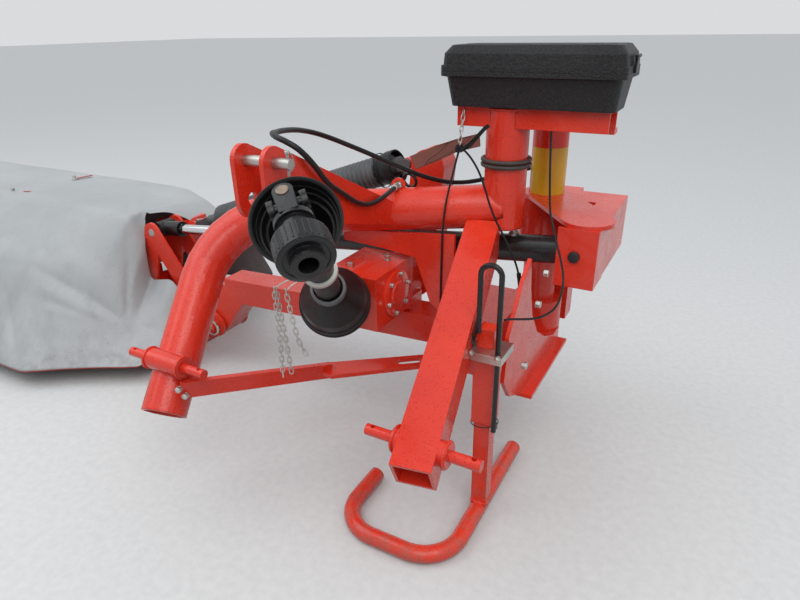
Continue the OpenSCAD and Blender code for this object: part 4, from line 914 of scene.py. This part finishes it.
def slow_wave(p, size):
    """Slow waves of a slack sheet, from -1 to 1."""
    x, y, z = p / size
    crossing = math.sin(x * 1.7 + y * 0.9 + 0.4) * math.cos(z * 2.1 + x * 0.7)
    return (crossing + math.sin(y * 2.3 - z * 1.1 + x * 0.5)) / 2


def sewn_sheet(name, spots, faces, creases, wave):
    """A sheet's mesh, pushed out along its own normal into folds and waves, 2.6 mm thick with its
    coating. The points as they lie come back with it."""
    mesh = bpy.data.meshes.new(name)
    mesh.from_pydata([tuple(p) for p in spots], [], faces)
    mesh.update()
    normals = [v.normal.copy() for v in mesh.vertices]
    lying = []
    for normal, p in zip(normals, spots):
        push = wave * slow_wave(p, 260) + wave * 0.5 * slow_wave(p.yzx, 95)
        push += sum(crease(p, *fold) for fold in creases)
        lying.append(p + normal * push)
    for vertex, p in zip(mesh.vertices, lying):
        vertex.co = at(*p)
    piece = placed(name, mesh)
    mesh.materials.append(fabric)
    rounding = piece.modifiers.new("rounding", "SUBSURF")
    rounding.levels = 1
    thickness = piece.modifiers.new("thickness", "SOLIDIFY")
    thickness.thickness = 0.0026
    bpy.context.view_layer.update()
    baked = bpy.data.meshes.new_from_object(piece.evaluated_get(bpy.context.evaluated_depsgraph_get()))
    piece.modifiers.clear()
    piece.data = baked
    piece.data.name = name
    for face in piece.data.polygons:
        face.use_smooth = True
    return piece, lying


# The net's rows run from the rear hem over the roof and the ridge to the front hem, and its columns
# from the outer end to the tips of the tongues. No sheet lies where the link frame comes through.
cover_net = [
    [(-4044, 1262, 76), (-3000, 1262, 76), (-2100, 1262, 76), (-1560, 1262, 76), (-1440, 1256, 86),
     (-1330, 1250, 104), (-1240, 1243, 122), (-1150, 1238, 142), (-1076, 1232, 160)],
    [(-4044, 1200, 322), (-3000, 1202, 322), (-2100, 1200, 322), (-1560, 1200, 322), (-1450, 1196, 318),
     (-1335, 1190, 310), (-1240, 1182, 300), (-1150, 1175, 290), (-1076, 1168, 280)],
    [(-4044, 1130, 602), (-3000, 1130, 602), (-2100, 1130, 602), (-1600, 1130, 602), (-1480, 1128, 596),
     (-1340, 1118, 550), (-1240, 1110, 497), (-1150, 1104, 449), (-1076, 1100, 410)],
    [(-4044, 945, 611), (-3000, 945, 610), (-2100, 945, 610), (-1560, 945, 611), (-1408, 945, 610),
     (-1290, 945, 590), (-1215, 945, 550), (-1140, 946, 491), (-1078, 950, 441)],
    [(-4044, 780, 617), (-3000, 780, 616), (-2100, 780, 616), (-1560, 780, 616), (-1345, 780, 616),
     (-1270, 780, 610), (-1250, 780, 605), (-1240, 782, 602), (-1230, 786, 598)],
    [(-4044, 690, 620), (-3000, 690, 619), (-2100, 690, 619), (-1560, 690, 620), (-1290, 690, 619),
     (-1276, 690, 618), (-1268, 690, 613), (-1262, 692, 610), (-1256, 694, 608)],
    [(-4044, 590, 625), (-3000, 590, 625), (-2100, 590, 625), (-1560, 590, 625), (-1266, 592, 622),
     (-1212, 604, 490), (-1222, 609, 334), (-1082, 611, 366), (-962, 614, 152)],
    [(-4044, 330, 428), (-3000, 328, 428), (-2100, 330, 428), (-1608, 332, 430), (-1338, 382, 322),
     (-1214, 410, 234), (-1160, 446, 206), (-1086, 470, 190), (-1008, 482, 152)],
    [(-4044, 96, 76), (-3000, 96, 76), (-2100, 96, 76), (-1464, 101, 76), (-1330, 196, 76), (-1240, 252, 76),
     (-1180, 286, 76), (-1118, 318, 76), (-1059, 351, 78)],
]
spots, faces, hems = sheet_net(cover_net, lambda r, c: r != 5 or c < 5, (48, 40, 26, 18, 12, 9, 9, 9),
                               (10, 11, 8, 8, 5, 6, 18, 20), 4)
cover_folds = [
    ((-1608, 332, 430), (-1338, 382, 322), 9, 16), ((-1338, 382, 322), (-1200, 414, 232), 11, 14),
    ((-1200, 414, 232), (-1080, 470, 190), 7, 12), ((-1560, 300, 372), (-1240, 380, 236), -8, 24),
    ((-1500, 420, 470), (-1290, 460, 340), -9, 42), ((-1290, 596, 615), (-1248, 540, 450), 7, 14),
    ((-1248, 540, 450), (-1192, 430, 236), 9, 14), ((-1275, 520, 480), (-1240, 440, 290), -6, 26),
    ((-1816, 316, 415), (-1608, 332, 430), 5, 16), ((-1665, 431, 512), (-1560, 380, 460), 6, 22),
    ((-1720, 262, 330), (-1500, 110, 90), 9, 16), ((-1740, 230, 280), (-1560, 120, 100), -7, 26),
    ((-1620, 250, 300), (-1330, 330, 250), -5, 16), ((-1500, 292, 314), (-1250, 372, 226), 4, 10),
    ((-1470, 180, 200), (-1250, 300, 130), 5, 30), ((-1400, 230, 160), (-1150, 330, 120), -5, 26),
    ((-1520, 800, 614), (-1300, 618, 620), 6, 12), ((-1490, 830, 613), (-1300, 660, 618), -5, 12),
    ((-1420, 760, 616), (-1290, 640, 619), 4, 9), ((-1700, 980, 608), (-1380, 900, 608), 4, 18),
    ((-2100, 640, 620), (-1500, 560, 600), 4, 26), ((-2500, 470, 540), (-1700, 400, 480), 5, 40),
    ((-2350, 700, 617), (-2050, 880, 612), -3, 40), ((-2700, 200, 250), (-2400, 120, 110), 6, 40),
    ((-3300, 210, 260), (-3050, 110, 100), 6, 45), ((-3800, 240, 300), (-3900, 110, 100), 6, 40),
    ((-3000, 300, 390), (-2300, 330, 430), 5, 18), ((-3900, 320, 415), (-3100, 300, 395), 4, 20),
    ((-1600, 1150, 560), (-1500, 1240, 160), 7, 34), ((-2400, 1160, 500), (-2300, 1250, 120), 6, 45),
    ((-3300, 1160, 500), (-3380, 1250, 120), 6, 45), ((-1330, 1140, 470), (-1200, 1230, 160), 6, 30)]
cover, cover_lies = sewn_sheet("cover_sheet", spots, faces, cover_folds, 2.2)
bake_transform(cover)
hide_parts("cover_roof", "cover_inner", "cover_front")

# Hems: a red cord sewn into the cover's lower edges, front and rear.
piping = plain_finish("hem_red", (0.42, 0.030, 0.024), (0.30, 0.022, 0.018), 0.55, grain=900)
for name, hem, body in (("rear_hem", hems[0], "mower"), ("front_hem", hems[1], "front_flap")):
    line = [cover_lies[i] + Vector((0, 0, -1)) for i in hem]
    Shape().swept(line, 3.0, 8).done(name, piping, body, "cover_fabric")

# End panel: the same fabric at the cover's outer end, which folds up on its own hinge for transport.
end_low, end_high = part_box("cover_end")
end_x = ((end_low.x + end_high.x) / 2 - HITCH.x) * 1000
top_line = [(96, 84), (330, 424), (590, 614), (860, 604), (1130, 592), (1262, 84)]
end_net = [[(end_x, y, z) for y, z in top_line], [(end_x, y, 76) for y, z in top_line]]
spots, faces = sheet_net(end_net, lambda r, c: True, (12, 14, 12, 12, 7), (22,), 1)[:2]
end_folds = [((end_x, 300, 360), (end_x, 420, 90), 6, 40), ((end_x, 700, 600), (end_x, 760, 90), 6, 50),
             ((end_x, 1050, 580), (end_x, 980, 90), -6, 45)]
end_panel = sewn_sheet("end_panel", spots, faces, end_folds, 2.0)[0]
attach(end_panel, "end_flap")
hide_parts("cover_end")

# Cover clips: small turn buttons of plated steel on the roof, with red tabs that hold the sheet.
tabs = Shape()
buttons = Shape()
button_profile = [(0, 16), (3, 15), (5, 6), (14, 6), (15, 9), (20, 9), (21, 6)]
for x, y, z, angle in ((-2146, 636, 618, 20), (-2138, 959, 612, 80), (-3100, 640, 618, 30),
                       (-3100, 959, 612, 70)):
    buttons.turned((x, y, z), (0, 0, 1), button_profile, 24)
    way = Vector((math.cos(math.radians(angle)), math.sin(math.radians(angle)), 0))
    side = Vector((-way.y, way.x, 0)) * 9
    foot = Vector((x, y, z + 3)) + way * 12
    tip = foot + way * 80
    tabs.slab([foot - side, tip - side, tip + side, foot + side], (0, 0, 1), 2)
buttons.done("cover_buttons", zinc, "mower", "plated_steel")
tabs.done("cover_tabs", piping, "mower", "cover_fabric")

# Yard floor and sky: a plain pale floor under an even, overcast light that comes mostly from above,
# with large soft lamps high on the camera's side for the shine on paint and rubber.


def seen_directly(finish):
    """1 where the camera, a shiny surface or glass shows the floor or the sky, and 0 where they only
    light the machine."""
    path = node(finish, "ShaderNodeLightPath", {})
    shiny = arithmetic(finish, "MAXIMUM", path.outputs["Is Glossy Ray"], path.outputs["Is Transmission Ray"])
    return arithmetic(finish, "MAXIMUM", path.outputs["Is Camera Ray"], shiny)


floor_mesh = bpy.data.meshes.new("floor")
reach = 60
floor_mesh.from_pydata([(-reach, -reach, 0), (reach, -reach, 0), (reach, reach, 0), (-reach, reach, 0)], [],
                       [(0, 1, 2, 3)])
floor = placed("floor", floor_mesh)
floor_finish, floor_surface, floor_place = new_finish("floor_pale", 0.9)
floor_tone = ramp(floor_finish, noise(floor_finish, floor_place, 40, 8),
                  [(0.3, (0.60, 0.60, 0.59)), (0.7, (0.66, 0.66, 0.65))])
floor_colour = mixed(floor_finish, seen_directly(floor_finish), (0.24, 0.24, 0.235, 1), floor_tone)
connect(floor_finish, floor_colour, floor_surface, "Base Color")
floor_mesh.materials.append(floor_finish)

sky = bpy.data.worlds.new("overcast")
sky.use_nodes = True
sky_light = sky.node_tree.nodes["Background"]
sky_light.inputs["Strength"].default_value = 1.0
bpy.context.scene.world = sky
look = node(sky, "ShaderNodeTexCoord", {}).outputs["Generated"]
way_up = node(sky, "ShaderNodeSeparateXYZ", {0: look}).outputs["Z"]
tone = ramp(sky, way_up, [(0.0, (0.26, 0.27, 0.285)), (0.9, (0.98, 1.02, 1.07))])
connect(sky, mixed(sky, seen_directly(sky), tone, (0.70, 0.71, 0.72, 1)), sky_light, "Color")


def soft_lamp(name, place, target, size, watts, colour):
    lamp = bpy.data.lights.new(name, "AREA")
    lamp.size = size
    lamp.energy = watts
    lamp.color = colour
    stand = placed(name, lamp)
    stand.location = place
    stand.rotation_euler = (target - place).to_track_quat("-Z", "Y").to_euler()


soft_lamp("sky_front", at(2200, -2400, 4600), at(0, 400, 500), 4.0, 110, (1.0, 0.98, 0.95))
soft_lamp("sky_left", at(-3600, -1200, 5200), at(-900, 500, 400), 4.5, 90, (0.93, 0.97, 1.0))
